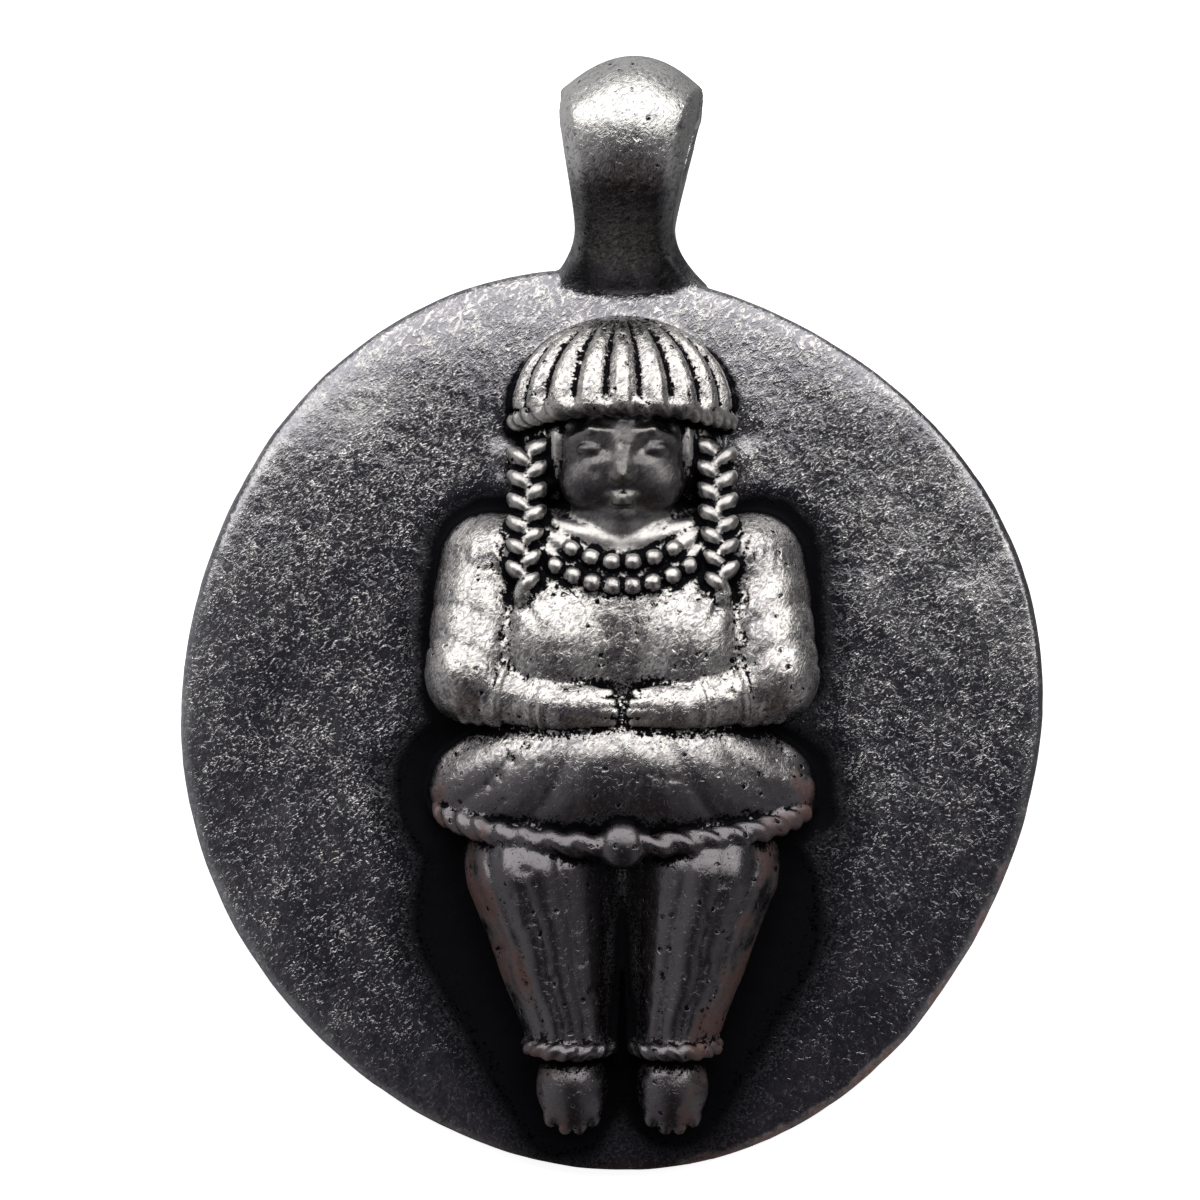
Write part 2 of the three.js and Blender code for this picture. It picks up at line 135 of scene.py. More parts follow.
SKIRT_WIDTHS = ((-12.5, 3.0), (-11.6, 3.05), (-9.0, 4.1), (-4.9, 5.7), (-3.0, 4.6))
LEG = {"start": (3.2, -5.9, 0.6), "end": (1.95, -12.1, 0.95), "radii": (2.45, 1.35)}
TROUGH = {"depth": 1.1, "half": 0.85}
HEM = {"height": -12.25, "rise": 0.2, "half": 1.5, "depth": 1.4, "radius": 0.3}
HEM_AT = (1.95, 0, 0.95)
FOOT = {"at": (1.85, -13.6, 0.55), "radii": (1.35, 1.6, 1.2)}
TOES = 4
TOE = {"reach": 0.75, "height": -15.0, "depth": 0.8, "radius": 0.32}
SKIN_RISE = 0.012
TRENCH_REACH = (0.1, 1.3)  # how far from the figure the trench is full, and has run out
TRENCH_TOP = (9.5, 12.0)  # heights between which the trench runs out over the head
GROUND_STEP = 0.2  # spacing of the points where the distance from the figure is worked out


def length_setting(name, description, default, **limits):
    """A length that a maker would change, in metres."""
    return FloatProperty(
        name=name, description=description, default=default, precision=6, unit="LENGTH", **limits
    )


def colour_setting(name, description, default):
    """A colour that a maker would change."""
    return FloatVectorProperty(
        name=name, description=description, default=default, size=3, min=0, max=1, subtype="COLOR"
    )


def share_setting(name, description, default):
    """A value from 0 to 1."""
    return FloatProperty(
        name=name, description=description, default=default, min=0, max=1, subtype="FACTOR"
    )


class CastingSizes(bpy.types.PropertyGroup):
    """Sizes that a maker would change in the casting's surface."""

    spacing: length_setting(
        "Mesh spacing", "Distance between the mesh's corners over the figure", 0.133 * MM, min=0.05 * MM
    )
    trench: length_setting("Trench", "How far the face sinks round the figure", 0.16 * MM)
    waver: length_setting("Waver", "How far the disc's face swells and dips from hand work", 0.09 * MM)
    pits: length_setting("Pits", "Depth of the pits that casting leaves in the figure", 0.07 * MM)


class FinishColours(bpy.types.PropertyGroup):
    """Colours and gloss of the antiqued pewter."""

    silver: colour_setting(
        "Bare pewter", "Colour of the metal where wear has cleaned it", (0.62, 0.61, 0.59)
    )
    tarnish: colour_setting(
        "Tarnish", "Colour of the grey film on metal that nothing rubs", (0.213, 0.208, 0.228)
    )
    # also the colour of the painted shade film over the bail's neck, the face, the belly and the legs
    patina_and_shade: colour_setting(
        "Patina", "Colour of the black left in the hollows", (0.0035, 0.0033, 0.0045)
    )
    stain: colour_setting(
        "Brown stain", "Colour of the faint brown stain on the steep sides", (0.15, 0.062, 0.048)
    )
    warmth: colour_setting("Warm tint", "Colour that tints the raised metal a little", (0.3, 0.2, 0.14))
    gloss: share_setting("Disc roughness", "Roughness of the disc's metal, where 0 is a mirror", 0.13)
    dullness: share_setting("Figure roughness", "Roughness of the metal that hands rub", 0.27)


class StageSettings(bpy.types.PropertyGroup):
    """The floor, the light and the camera's distance."""

    floor: colour_setting("Floor", "Colour of the floor", (0.93, 0.93, 0.93))
    window: FloatProperty(
        name="Window light",
        description="Power of the large soft light beyond the bail, in watts",
        default=3.3,
        min=0,
    )
    eye_height: length_setting("Camera height", "Height of the camera above the pendant's face", 0.19)
    view_width: length_setting("View width", "Width of the picture at the pendant's face", 44.5 * MM)


def eased(value, low, high):
    """0 below low, 1 above high, and a smooth step between them."""
    share = np.clip((value - low) / (high - low), 0, 1)
    return share * share * (3 - 2 * share)


def fading(value, low, high):
    """1 below low, 0 above high, and a smooth step between them."""
    return eased(-value, -high, -low)


def grown(value, start, steps):
    """start, and what each (low, high, growth) step adds as the value passes from low to high."""
    return start + sum(growth * eased(value, low, high) for low, high, growth in steps)


def merge(first, second, softness):
    """The nearer of two distances, with a fillet of about the given softness where they meet."""
    share = np.clip(0.5 + 0.5 * (first - second) / softness, 0, 1)
    return first + (second - first) * share - softness * share * (1 - share)


def cut(first, second, softness):
    """The farther of two distances, with its corner rounded by about the given softness."""
    return -merge(-first, -second, softness)


def rounded_corner(first, second, radius):
    """Two faces that meet at a corner of the given radius."""
    a, b = first + radius, second + radius
    outside = np.hypot(np.maximum(a, 0), np.maximum(b, 0))
    return outside + np.minimum(np.maximum(a, b), 0) - radius


def eased_station(stations, at):
    """A value at each place, eased between (place, value) stations."""
    value = np.full(at.shape, float(stations[0][1]))
    for (low, start), (high, end) in zip(stations, stations[1:]):
        value = np.where(at > low, start + (end - start) * eased(at, low, high), value)
    return value


def lattice_noise(seed):
    """A smooth random surface over the plane, from -1 to 1, that is the same on each run."""
    size = 128
    lattice = np.random.default_rng(seed).uniform(-1, 1, (size, size))

    def height(x, y):
        column, row = np.floor(x).astype(int), np.floor(y).astype(int)
        u, v = x - column, y - row
        u, v = u * u * (3 - 2 * u), v * v * (3 - 2 * v)

        def corner(right, up):
            return lattice[(column + right) % size, (row + up) % size]

        low = corner(0, 0) + (corner(1, 0) - corner(0, 0)) * u
        high = corner(0, 1) + (corner(1, 1) - corner(0, 1)) * u
        return low + (high - low) * v

    return height


waver_noise = lattice_noise(3)
skin_noise = lattice_noise(7)
pit_noise = lattice_noise(11)
edge_noise = lattice_noise(17)


def from_oval(away, radii):
    """Distance to an ellipse or ellipsoid, from how far off its middle each point is on each axis."""
    scaled = np.sqrt(sum((off / radius) ** 2 for off, radius in zip(away, radii)))
    steep = np.sqrt(sum((off / radius**2) ** 2 for off, radius in zip(away, radii)))
    return scaled * (scaled - 1) / np.maximum(steep, 1e-6)


def egg(p, at, radii):
    """Distance to an ellipsoid. p holds the x, y and z of each point in three rows."""
    return from_oval([p[axis] - at[axis] for axis in range(3)], radii)


def turned_egg(p, at, radii, turn):
    """An ellipsoid turned by some degrees in the plane of the disc."""
    angle = math.radians(turn)
    x, y = p[0] - at[0], p[1] - at[1]
    along = x * math.cos(angle) + y * math.sin(angle)
    across = y * math.cos(angle) - x * math.sin(angle)
    return egg(np.stack([along, across, p[2]]), (0, 0, at[2]), radii)


def along_limb(p, start, end, radii):
    """How far along a tapering rod each point is, its distance from the axis, and the radius there."""
    start, way = np.array(start, float), np.subtract(end, start).astype(float)
    away = p - start[:, None]
    share = np.clip(way @ away / (way @ way), 0, 1)
    away = np.linalg.norm(away - way[:, None] * share, axis=0)
    return share, away, radii[0] + (radii[1] - radii[0]) * share


def rod(p, start, end, radii):
    """Distance to a tapering rod with round ends."""
    _, away, radius = along_limb(p, start, end, radii)
    return away - radius


def cord_across(p, height, rise, half, depth, radius, twists=0):
    """Distance to a cord that lies across a rounded form. twists gives its strands."""
    limit = CORD_REACH * math.pi / 2
    angle = np.clip(np.arctan2(p[0] / half, np.maximum(p[2], 0.01) / depth), -limit, limit)
    away_x = p[0] - half * np.sin(angle)
    away_y = p[1] - (height + rise * (1 - np.cos(angle)))
    away_z = p[2] - depth * np.cos(angle)
    away = np.sqrt(away_x**2 + away_y**2 + away_z**2)
    if twists:
        around = np.arctan2(away_y, away_z * np.cos(angle) + away_x * np.sin(angle))
        radius = radius * (1 + CORD_RIDGES * np.cos(twists * angle + 2 * around))
    return away - radius


def ridges(phase):
    """A row of rounded ridges with narrow grooves, from -1 in a groove to 1 on a crest."""
    share = phase - np.floor(phase)
    return 1 - 2 * (2 * share - 1) ** 2


def hump(value, height, at, width):
    """A rounded hump that is highest at one value and falls away on both sides."""
    return height * np.exp(-(((value - at) / width) ** 2))


def near(p, low, high, margin=1.1):
    """The points in a box, with a margin round it."""
    inside = np.ones(p.shape[1], bool)
    for axis in range(3):
        inside &= (p[axis] > low[axis] - margin) & (p[axis] < high[axis] + margin)
    return np.flatnonzero(inside)


def add_form(distance, p, form, low, high, softness, join=merge):
    """Joins a form to what is there, and works it out only for points near its box."""
    pick = near(p, low, high)
    if len(pick):
        distance[pick] = join(distance[pick], form(p[:, pick]), softness)


def add_egg(distance, p, at, radii, softness, turn=0):
    """Joins an ellipsoid, turned by some degrees in the plane of the disc."""
    reach = max(radii) if turn else np.array(radii)
    low, high = np.subtract(at, reach), np.add(at, reach)
    add_form(distance, p, lambda q: turned_egg(q, at, radii, turn), low, high, softness)


def add_rod(distance, p, start, end, radii, softness):
    """Joins a tapering rod with round ends."""
    low = np.minimum(start, end) - max(radii)
    high = np.maximum(start, end) + max(radii)
    add_form(distance, p, lambda q: rod(q, start, end, radii), low, high, softness)


def outline_radius(x, y):
    """How far the disc's edge is from its centre in the direction of each point."""
    angle = np.arctan2(y, x)
    radius = np.full(np.shape(x), DISC_RADIUS)
    for order, size, turn in OUTLINE_LOBES:
        radius = radius + size * np.cos(order * (angle - math.radians(turn)))
    for size, waves, row in OUTLINE_WAVER:
        radius = radius + size * edge_noise(angle * waves + 40, row)
    return radius


def face_height(x, y, sizes):
    """Height of the disc's face, without the trench."""
    share = (x**2 + y**2) / DISC_RADIUS**2
    waver = sum(
        part * waver_noise(x / width + place, y / width + place) for part, width, place in FACE_WAVER
    )
    dome = DOME * (1 - BOWL_SHARE * share - CONE_SHARE * np.sqrt(share + 0.01))
    to_right = eased(x / np.maximum(np.hypot(x, y), 1), 0.2, 0.75)
    roll = (RIM_ROLL - ROLL_LOSS * to_right) * share**6
    return RIM_HEIGHT + dome - roll + sizes.waver / MM * waver


def disc_field(p, trench, sizes):
    """Distance to the disc. trench is how far the face is sunk at each point."""
    x, y, z = p
    side = np.hypot(x, y) - outline_radius(x, y)
    top = z - (face_height(x, y, sizes) - trench)
    toward_upper_left = (1.1 * y - 0.45 * x) / np.maximum(np.hypot(x, y) * 1.19, 1)
    worn = eased(toward_upper_left, *WORN_TURNS)
    inward = np.clip(1 + side / WORN_RIM["width"], 0, 2)
    top = top + worn * 0.5 * WORN_RIM["slope"] * WORN_RIM["width"] * inward**2
    front = rounded_corner(side, top, EDGE_ROUND * (1 - 0.6 * worn))
    return np.maximum(front, rounded_corner(side, -z, BACK_ROUND))


def strap_front(height):
    """Depth of the strap's front line below the eye, and its slope, at each height."""
    top = (EYE_HEIGHT, STRAP_DEPTH), (EYE_HEIGHT - KNEE_DROP, STRAP_DEPTH)
    knots = np.array([*top, STRAP_NECK, STRAP_FOOT])
    share = np.linspace(0, 1, 40)[:, None]
    line = sum(
        math.comb(3, i) * share**i * (1 - share) ** (3 - i) * knots[i] for i in range(4)
    )[::-1]
    depth = np.interp(height, line[:, 0], line[:, 1])
    slope = np.interp(height, line[:, 0], np.gradient(line[:, 1], line[:, 0]))
    return depth, slope


def bail_field(p):
    """Distance to the bail: a crowned strap that closes round the eye and runs into the disc."""
    x, y, z = p
    middle = NECK_X + LEAN * np.maximum(y - NECK_HEIGHT, 0) + TWIST * (EYE_DEPTH - z)
    across = x - middle
    above_neck = eased(y, NECK_HEIGHT, EYE_HEIGHT)
    bend = FRONT_BEND + (STRAP_BEND - FRONT_BEND) * eased(y, *BEND_CHANGES)
    crown = (NECK_BEND + (bend - NECK_BEND) * above_neck) * across**2
    depth, slope = strap_front(y)
    leg = (z - depth + crown) / np.sqrt(1 + slope**2)
    top = BAIL_TOP - EYE_HEIGHT
    loop = egg(np.stack([0 * y, y, z]), (0, EYE_HEIGHT, EYE_DEPTH), (FAR, top, EYE_DEPTH)) + crown
    outer = np.where(y < EYE_HEIGHT, leg, loop)
    underside = (crown + UNDER_RISE) * eased(y, UNDER_LIFTS, EYE_HEIGHT)
    outer = rounded_corner(outer, underside - z, BAIL_ROUNDS["underside"])
    outer = rounded_corner(outer, STRAP_FOOT[0] - y, BAIL_ROUNDS["foot"])
    above = np.clip((y - NECK_HEIGHT) / (CROWN_CORNER - NECK_HEIGHT), 0, 1)
    half = NECK_HALF + (CROWN_HALF - NECK_HALF) * above**1.25
    half = half + FOOT_FLARE * np.maximum(NECK_HEIGHT - y, 0) ** 2
    side = np.abs(across) - half
    lost = BEVEL_LOSS["share"] * eased(y, *BEVEL_LOSS["heights"]) * fading(z, *BEVEL_LOSS["depths"])
    bevel = STRAP_BEVEL * (1 - lost)
    slant = (outer + side) / math.sqrt(2) + bevel
    strap = cut(rounded_corner(outer, side, BAIL_ROUNDS["side"]), slant, BAIL_ROUNDS["bevel"])
    eye = EYE_RADIUS - np.hypot(y - EYE_HEIGHT, z - EYE_DEPTH)
    return cut(strap, eye, BAIL_ROUNDS["eye"])


def add_head(distance, p, folded):
    """The hair, the band over the brow, and the face. folded has x measured from the middle."""

    def hair(q):
        x, z = (q[0] - HAIR["at"][0]) / HAIR["radii"][0], (q[2] - HAIR["at"][2]) / HAIR["radii"][2]
        turn = np.arctan2(x, z) / (2 * math.pi)
        spread = np.clip(np.hypot(x, z), 0, 1)
        rise = STRAND_SHARE * HAIR["radii"][0] * spread
        combed = rise * ridges(STRANDS * turn + 0.5) + 0.02 * ridges(4 * STRANDS * turn)
        return cut(egg(q, **HAIR) - combed, HAIRLINE - q[1], 0.15)

    def nape(q):
        strands = 0.07 * ridges(q[0] / 0.55) + 0.015 * ridges(q[0] / 0.14)
        return egg(q, **NAPE) - strands

    add_form(distance, p, nape, *box_of(NAPE), 0.1)
    add_egg(distance, p, **FACE, softness=0.12)
    add_egg(distance, p, **CHIN, softness=0.4)
    add_egg(distance, folded, **CHEEK, softness=0.5)
    low, high = (0.2, 9.2, 2), (2.3, 10.6, 4)
    add_form(distance, folded, lambda q: -egg(q, **SOCKET), low, high, 0.2, join=cut)
    add_egg(distance, folded, **EYELID, softness=0.05)
    add_rod(distance, folded, **LASHES, softness=0.05)
    for i in range(len(BROW) - 1):
        add_rod(distance, folded, BROW[i], BROW[i + 1], BROW_RADII[i : i + 2], 0.25)
    add_rod(distance, p, **NOSE, softness=0.3)
    add_egg(distance, folded, **NOSTRIL, softness=0.08)
    add_rod(distance, folded, **UPPER_LIP, softness=0.08)
    add_egg(distance, p, **LOWER_LIP, softness=0.06)
    add_form(distance, p, hair, *box_of(HAIR), 0.1)
    low, high = (-4.5, 10.2, -1), (4.5, 12.2, 3.6)
    add_form(distance, p, lambda q: cord_across(q, **BROW_BAND, twists=38), low, high, 0.08)


def box_of(form):
    """The lowest and highest corner of an ellipsoid's box."""
    return np.subtract(form["at"], form["radii"]), np.add(form["at"], form["radii"])


def add_locks(distance, folded):
    """The plaited lock at each side of the face."""
    start, end = np.array(LOCK["start"]), np.array(LOCK["end"])
    steps = 2 * LOCK["turns"] - 1
    for i in range(steps):
        share = i / (steps - 1)
        shrink = 1 - STRAND["taper"] * share
        side = 1 if i % 2 else -1
        at = start + (end - start) * share + (side * STRAND["aside"] * shrink, 0, 0)
        radii = np.array(STRAND["radii"]) * shrink
        add_egg(distance, folded, at, radii, 0.05, turn=side * STRAND["turn"])
    add_egg(distance, folded, end + LOCK_TIP["drop"], LOCK_TIP["radii"], 0.06)


def add_body(distance, p, folded):
    """The robed body under the arms."""
    for form in (NECK, CHEST, BELLY, HIPS):
        add_egg(distance, p, **form, softness=0.7)
    add_rod(distance, folded, **SHOULDER, softness=0.6)
    add_egg(distance, folded, **BREAST, softness=0.35)


def robe_folds(p, folded):
    """How far the robe's folds stand out at each point of the body."""
    x, y = p[0], p[1]
    inward, down = ROBE_GATHER[0] - folded[0], ROBE_GATHER[1] - y
    gather, turn = np.hypot(inward, down), np.arctan2(down, inward)
    shoulder = ridges(turn * FOLDS) * eased(gather, 1.5, 3.0) * fading(gather, 4.8, 6.6)
    above = eased(y, 0.4, 1.2) * fading(y, 6.8, 8.0)
    lap = ridges(x * 0.62 + 0.09 * x * y) * fading(y, -1.5, -0.6) * eased(y, -5.0, -4.2)
    return FOLD_RISE * shoulder * above + LAP_RISE * lap


def add_arms(distance, folded):
    """The sleeves, forearms and hands."""

    def sleeve(q):
        share, away, radius = along_limb(q, **UPPER_ARM)
        folds = 0.035 * ridges(share * 3.2 + 0.22 * (q[0] - 5)) * eased(share, 0.15, 0.4)
        return away - radius - folds

    def forearm(q):
        share, away, radius = along_limb(q, **FOREARM)
        covered = fading(share, *SLEEVE_ENDS)
        folds = 0.05 * ridges(share * 7.5 + 0.15 * q[1])
        bangles = sum(hump(share, *bangle) for bangle in BANGLES)
        bare_arm = away - radius * (0.93 + 0.07 * covered)
        return bare_arm - covered * folds - hump(share, *CUFF) - bangles

    upper_low, upper_high = (2.7, -1.3, -2), (7.9, 7.6, 3)
    add_form(distance, folded, sleeve, upper_low, upper_high, 0.22)
    add_form(distance, folded, forearm, (1.2, -1.7, -1), (7.3, 2.0, 3.7), 0.2)
    add_egg(distance, folded, **HAND, softness=0.2)
    for i in range(FINGERS):
        away = i - (FINGERS - 1) / 2
        knuckle, tip = (
            [part["x"], HAND["at"][1] - part["apart"] * away, part["depth"] - part["curve"] * away**2]
            for part in (KNUCKLE, FINGERTIP)
        )
        tip[0] += 0.1 * abs(away - 0.5)
        tip[1] -= 0.05
        add_rod(distance, folded, knuckle, tip, FINGER_RADII, 0.05)
    add_rod(distance, folded, **THUMB, softness=0.08)


def top_of(forms, x, y):
    """Height of the highest ellipsoid above one point of the face."""
    heights = [0.0]
    for form in forms:
        at, radii = form["at"], form["radii"]
        left = 1 - ((x - at[0]) / radii[0]) ** 2 - ((y - at[1]) / radii[1]) ** 2
        if left > 0:
            heights.append(at[2] + radii[2] * math.sqrt(left))
    return max(heights)


def add_collar(distance, p):
    """Two rows of beads that lie on the chest."""
    mirrored = {"at": (-BREAST["at"][0], *BREAST["at"][1:]), "radii": BREAST["radii"]}
    chest = (NECK, CHEST, BREAST, mirrored)
    for row, beads in zip(COLLAR["rows"], COLLAR["beads"]):
        for i in range(beads):
            swing = (i / (beads - 1) - 0.5) * 2 * math.radians(COLLAR["reach"])
            x, y = row * math.sin(swing), COLLAR["centre"] - row * math.cos(swing)
            at = (x, y, top_of(chest, x, y) + BEAD_LIFT)
            add_egg(distance, p, at, BEAD, 0.06, turn=math.degrees(swing))


def add_skirt(distance, p, folded):
    """The pleated skirt that clings to both legs, its girdle with a clasp, and its hem."""

    def skirt(q):
        half = eased_station(SKIRT_WIDTHS, q[1])
        x, z = q[0], q[2] - SKIRT_LIFT
        bell = from_oval((x, z), (half, half * SKIRT_FLATTEN))
        bell = bell + hump(x, TROUGH["depth"], 0, TROUGH["half"])
        bell = merge(bell, rod(np.stack([np.abs(x), q[1], q[2]]), **LEG), 0.9)
        turn = np.arcsin(np.clip(x / (half + 0.5), -1, 1)) / (2 * math.pi)
        pleats = PLEAT_RISE * ridges(PLEATS * turn + 0.5) * fading(q[1], *PLEATS_FADE)
        pleats = pleats * eased(half + 0.2 - np.abs(x), 0.0, 0.5)
        low, high = SKIRT_WIDTHS[0][0], SKIRT_WIDTHS[-1][0]
        return cut(cut(bell - pleats, low - q[1], 0.1), q[1] - high, 0.2)

    add_form(distance, p, skirt, (-7, -12.6, -1.5), (7, -2.8, 3.6), 0.15)
    low, high = (-7.6, -5.3, -1), (7.6, -2.0, 3.7)
    add_form(distance, p, lambda q: cord_across(q, **GIRDLE, twists=40), low, high, 0.08)
    add_egg(distance, p, **CLASP, softness=0.06)
    beside = folded - np.array(HEM_AT)[:, None]
    low, high = (-2.0, -12.8, -1), (2.0, -11.8, 1.9)
    add_form(distance, beside, lambda q: cord_across(q, **HEM, twists=16), low, high, 0.08)


def add_feet(distance, folded):
    """Both feet, with their toes."""
    add_egg(distance, folded, **FOOT, softness=0.1)
    for i in range(TOES):
        away = (i / (TOES - 1) - 0.5) * 2 * TOE["reach"]
        droop = 0.3 * (away / TOE["reach"]) ** 2
        at = (FOOT["at"][0] + away, TOE["height"] + droop, TOE["depth"])
        radii = TOE["radius"], TOE["radius"] * 1.4, TOE["radius"]
        add_egg(distance, folded, at, radii, 0.06)


def figure_field(points, sizes, detail=True):
    """Distance to the goddess."""
    p = points - np.array((FIGURE_X, 0, FIGURE_BASE))[:, None]
    folded = np.stack([np.abs(p[0]), p[1], p[2]])
    distance = np.full(p.shape[1], FAR)
    add_body(distance, p, folded)
    if detail:
        distance -= robe_folds(p, folded)
    add_skirt(distance, p, folded)
    add_feet(distance, folded)
    add_arms(distance, folded)
    add_collar(distance, p)
    add_head(distance, p, folded)
    add_locks(distance, folded)
    if detail:
        x, y = p[0], p[1]
        skin = skin_noise(x / 0.42, y / 0.42) + 0.6 * skin_noise(x / 0.21 + 50, y / 0.21)
        pits = eased(pit_noise(x / 0.5, y / 0.5) + 0.35 * pit_noise(x / 0.2 + 40, y / 0.2), 0.72, 1.05)
        distance += SKIN_RISE * skin + sizes.pits / MM * pits
    return cut(distance, FIGURE_FLOOR - p[2], 0.1)


def ground_distance(sizes):
    """A function that gives how far a point of the face is from the figure's foot line."""
    x = np.arange(-17, 17.3, GROUND_STEP)
    y = np.arange(-18, 18.2, GROUND_STEP)
    grid = np.stack(np.meshgrid(x, y, indexing="ij"))
    flat = grid.reshape(2, -1)
    points = np.vstack([flat, np.full((1, flat.shape[1]), FIGURE_BASE + 0.15)])
    inside = figure_field(points, sizes, detail=False).reshape(len(x), len(y)) < 0
    core = inside[1:-1, 1:-1]
    deep = inside[2:, 1:-1] & inside[:-2, 1:-1] & inside[1:-1, 2:] & inside[1:-1, :-2]
    rim_x, rim_y = grid[:, 1:-1, 1:-1][:, core & ~deep]
    values = np.stack([np.hypot(u - rim_x, y[:, None] - rim_y).min(1) for u in x])
    values = np.where(inside, -values, values)

    def lookup(px, py):
        u = np.clip((px - x[0]) / GROUND_STEP, 0, len(x) - 1.001)
        v = np.clip((py - y[0]) / GROUND_STEP, 0, len(y) - 1.001)
        i, j = u.astype(int), v.astype(int)
        u, v = u - i, v - j
        low = values[i, j] * (1 - u) + values[i + 1, j] * u
        high = values[i, j + 1] * (1 - u) + values[i + 1, j + 1] * u
        return low * (1 - v) + high * v

    return lookup


def pendant_field(p, sizes, ground):
    """Distance from each point to the whole casting, negative inside the metal."""
    trench = sizes.trench / MM * fading(ground(p[0], p[1]), *TRENCH_REACH)
    distance = disc_field(p, trench * fading(p[1], *TRENCH_TOP), sizes)
    figure = figure_field(p, sizes)
    distance = merge(distance, figure, 0.12)
    add_form(distance, p, bail_field, (-3.2, 14.6, 0), (4.6, 24.6, 6.2), 0.12)
    return np.maximum(distance, -p[2])


def spaced(stops):
    """Places along an axis: stops are (start, spacing) pairs, and the last one only ends it."""
    places = [
        np.arange(start, end, spacing) for (start, spacing), (end, _) in zip(stops, stops[1:])
    ]
    places.append([stops[-1][0]])
    return np.concatenate(places)


HOLLOW_REACHES = ((0.22, 0.45), (0.5, 0.35), (1.1, 0.2))  # how far out is looked, its weight
CELL_CORNERS = [(i, j, k) for i in (0, 1) for j in (0, 1) for k in (0, 1)]


def in_one_group(corners):
    """Whether corners of a cell, as numbers from 0 to 7, are joined along the cell's edges."""
    reached, fresh = set(), set(list(corners)[:1])
    while fresh:
        reached |= fresh
        fresh = {a for a in corners for b in fresh if a ^ b in (1, 2, 4)} - reached
    return len(reached) == len(corners)


def settle(values):
    """Fills grid points where two sheets of the surface would meet in one cell."""
    numbers = range(8)
    clashes = np.array([
        not (
            in_one_group({n for n in numbers if code >> n & 1})
            and in_one_group({n for n in numbers if not code >> n & 1})
        )
        for code in range(256)
    ])
    shape = [n - 1 for n in values.shape]
    while True:
        inside = values < 0
        code = np.zeros(shape, np.uint8)
        for n, (i, j, k) in enumerate(CELL_CORNERS):
            corner = inside[i : i + shape[0], j : j + shape[1], k : k + shape[2]]
            code |= corner.astype(np.uint8) << n
        cells = np.argwhere(clashes[code])
        if not len(cells):
            return values
        around = np.stack([values[tuple((cells + offset).T)] for offset in CELL_CORNERS], 1)
        nearest = np.where(around < 0, FAR, around).argmin(1)
        values[tuple((cells + np.array(CELL_CORNERS)[nearest]).T)] = -1e-3


def surface_nets(values, axes):
    """Corners and quads of the surface where the values change sign, with one corner to a cell."""
    inside = values < 0
    shape = tuple(n - 1 for n in values.shape)
    counts = np.zeros(shape, np.int8)
    for i, j, k in CELL_CORNERS:
        counts += inside[i : i + shape[0], j : j + shape[1], k : k + shape[2]]
    active = (counts > 0) & (counts < 8)
    cells = np.argwhere(active)
    total, hits = np.zeros((len(cells), 3)), np.zeros(len(cells))
    for axis in range(3):
        step = np.eye(3, dtype=int)[axis]
        for offset in (np.array(o) for o in CELL_CORNERS if o[axis] == 0):
            first, second = cells + offset, cells + offset + step
            a, b = values[tuple(first.T)], values[tuple(second.T)]
            crosses = (a < 0) != (b < 0)
            share = np.where(crosses, a / np.where(crosses, a - b, 1), 0)
            total += crosses[:, None] * (offset + share[:, None] * step)
            hits += crosses
    spots = cells + total / hits[:, None]
    corners = np.stack([np.interp(spots[:, i], np.arange(len(axes[i])), axes[i]) for i in range(3)], 1)
    number = np.full(shape, -1)
    number[active] = np.arange(len(cells))
    quads = []
    for axis in range(3):
        b, c = (axis + 1) % 3, (axis + 2) % 3
        one = np.moveaxis(inside, (axis, b, c), (0, 1, 2))
        cell = np.moveaxis(number, (axis, b, c), (0, 1, 2))
        low, high = one[:-1, 1:-1, 1:-1], one[1:, 1:-1, 1:-1]
        for leaves, order in ((low & ~high, 1), (~low & high, -1)):
            i, j, k = np.nonzero(leaves)
            j, k = j + 1, k + 1
            ring = [cell[i, j - 1, k - 1], cell[i, j, k - 1], cell[i, j, k], cell[i, j - 1, k]]
            quads.append(np.stack(ring[::order], 1))
    return corners, np.concatenate(quads)


def largest_shell(corners, quads):
    """Leaves out the small closed bubbles, and keeps the one large surface."""
    label = np.arange(len(corners))
    while True:
        lowest = label[quads].min(1)
        fresh = label.copy()
        for side in range(4):
            np.minimum.at(fresh, quads[:, side], lowest)
        fresh = fresh[fresh]
        if (fresh == label).all():
            break
        label = fresh
    kept = quads[label[quads[:, 0]] == np.bincount(label).argmax()]
    used = np.unique(kept)
    number = np.full(len(corners), -1)
    number[used] = np.arange(len(used))
    return corners[used], number[kept]


def field_slope(p, field, reach=0.02):
    """The direction in which the distance grows fastest at each point."""
    slope = np.zeros(p.shape)
    for axis in range(3):
        step = np.zeros((3, 1))
        step[axis] = reach
        slope[axis] = field(p + step) - field(p - step)
    return slope / (2 * reach)


def cast_surface(field, sizes):
    """Corners and quads of the casting's skin, in millimetres."""
    h = sizes.spacing / MM
    x = spaced(((-16.9, 1.6 * h), (-7.4, h), (8.3, 1.6 * h), (17.1, h)))
    y = spaced(((-17.4, 1.4 * h), (-15.7, h), (15.3, 1.7 * h), (24.9, h)))
    z = spaced(((-0.35, 0.18), (1.27, h), (6.5, h)))
    values = np.empty((len(x), len(y), len(z)))
    for rows in np.array_split(np.arange(len(y)), 30):
        block = np.stack(np.meshgrid(x, y[rows], z, indexing="ij"))
        values[:, rows, :] = field(block.reshape(3, -1)).reshape(block.shape[1:])
    corners, quads = largest_shell(*surface_nets(settle(values), (x, y, z)))
    for _ in range(2):
        p = corners.T
        slope = field_slope(p, field)
        away = field(p) * slope / np.maximum((slope**2).sum(0), 0.25)
        corners = corners - np.clip(away, -h / 2, h / 2).T
    return corners, quads


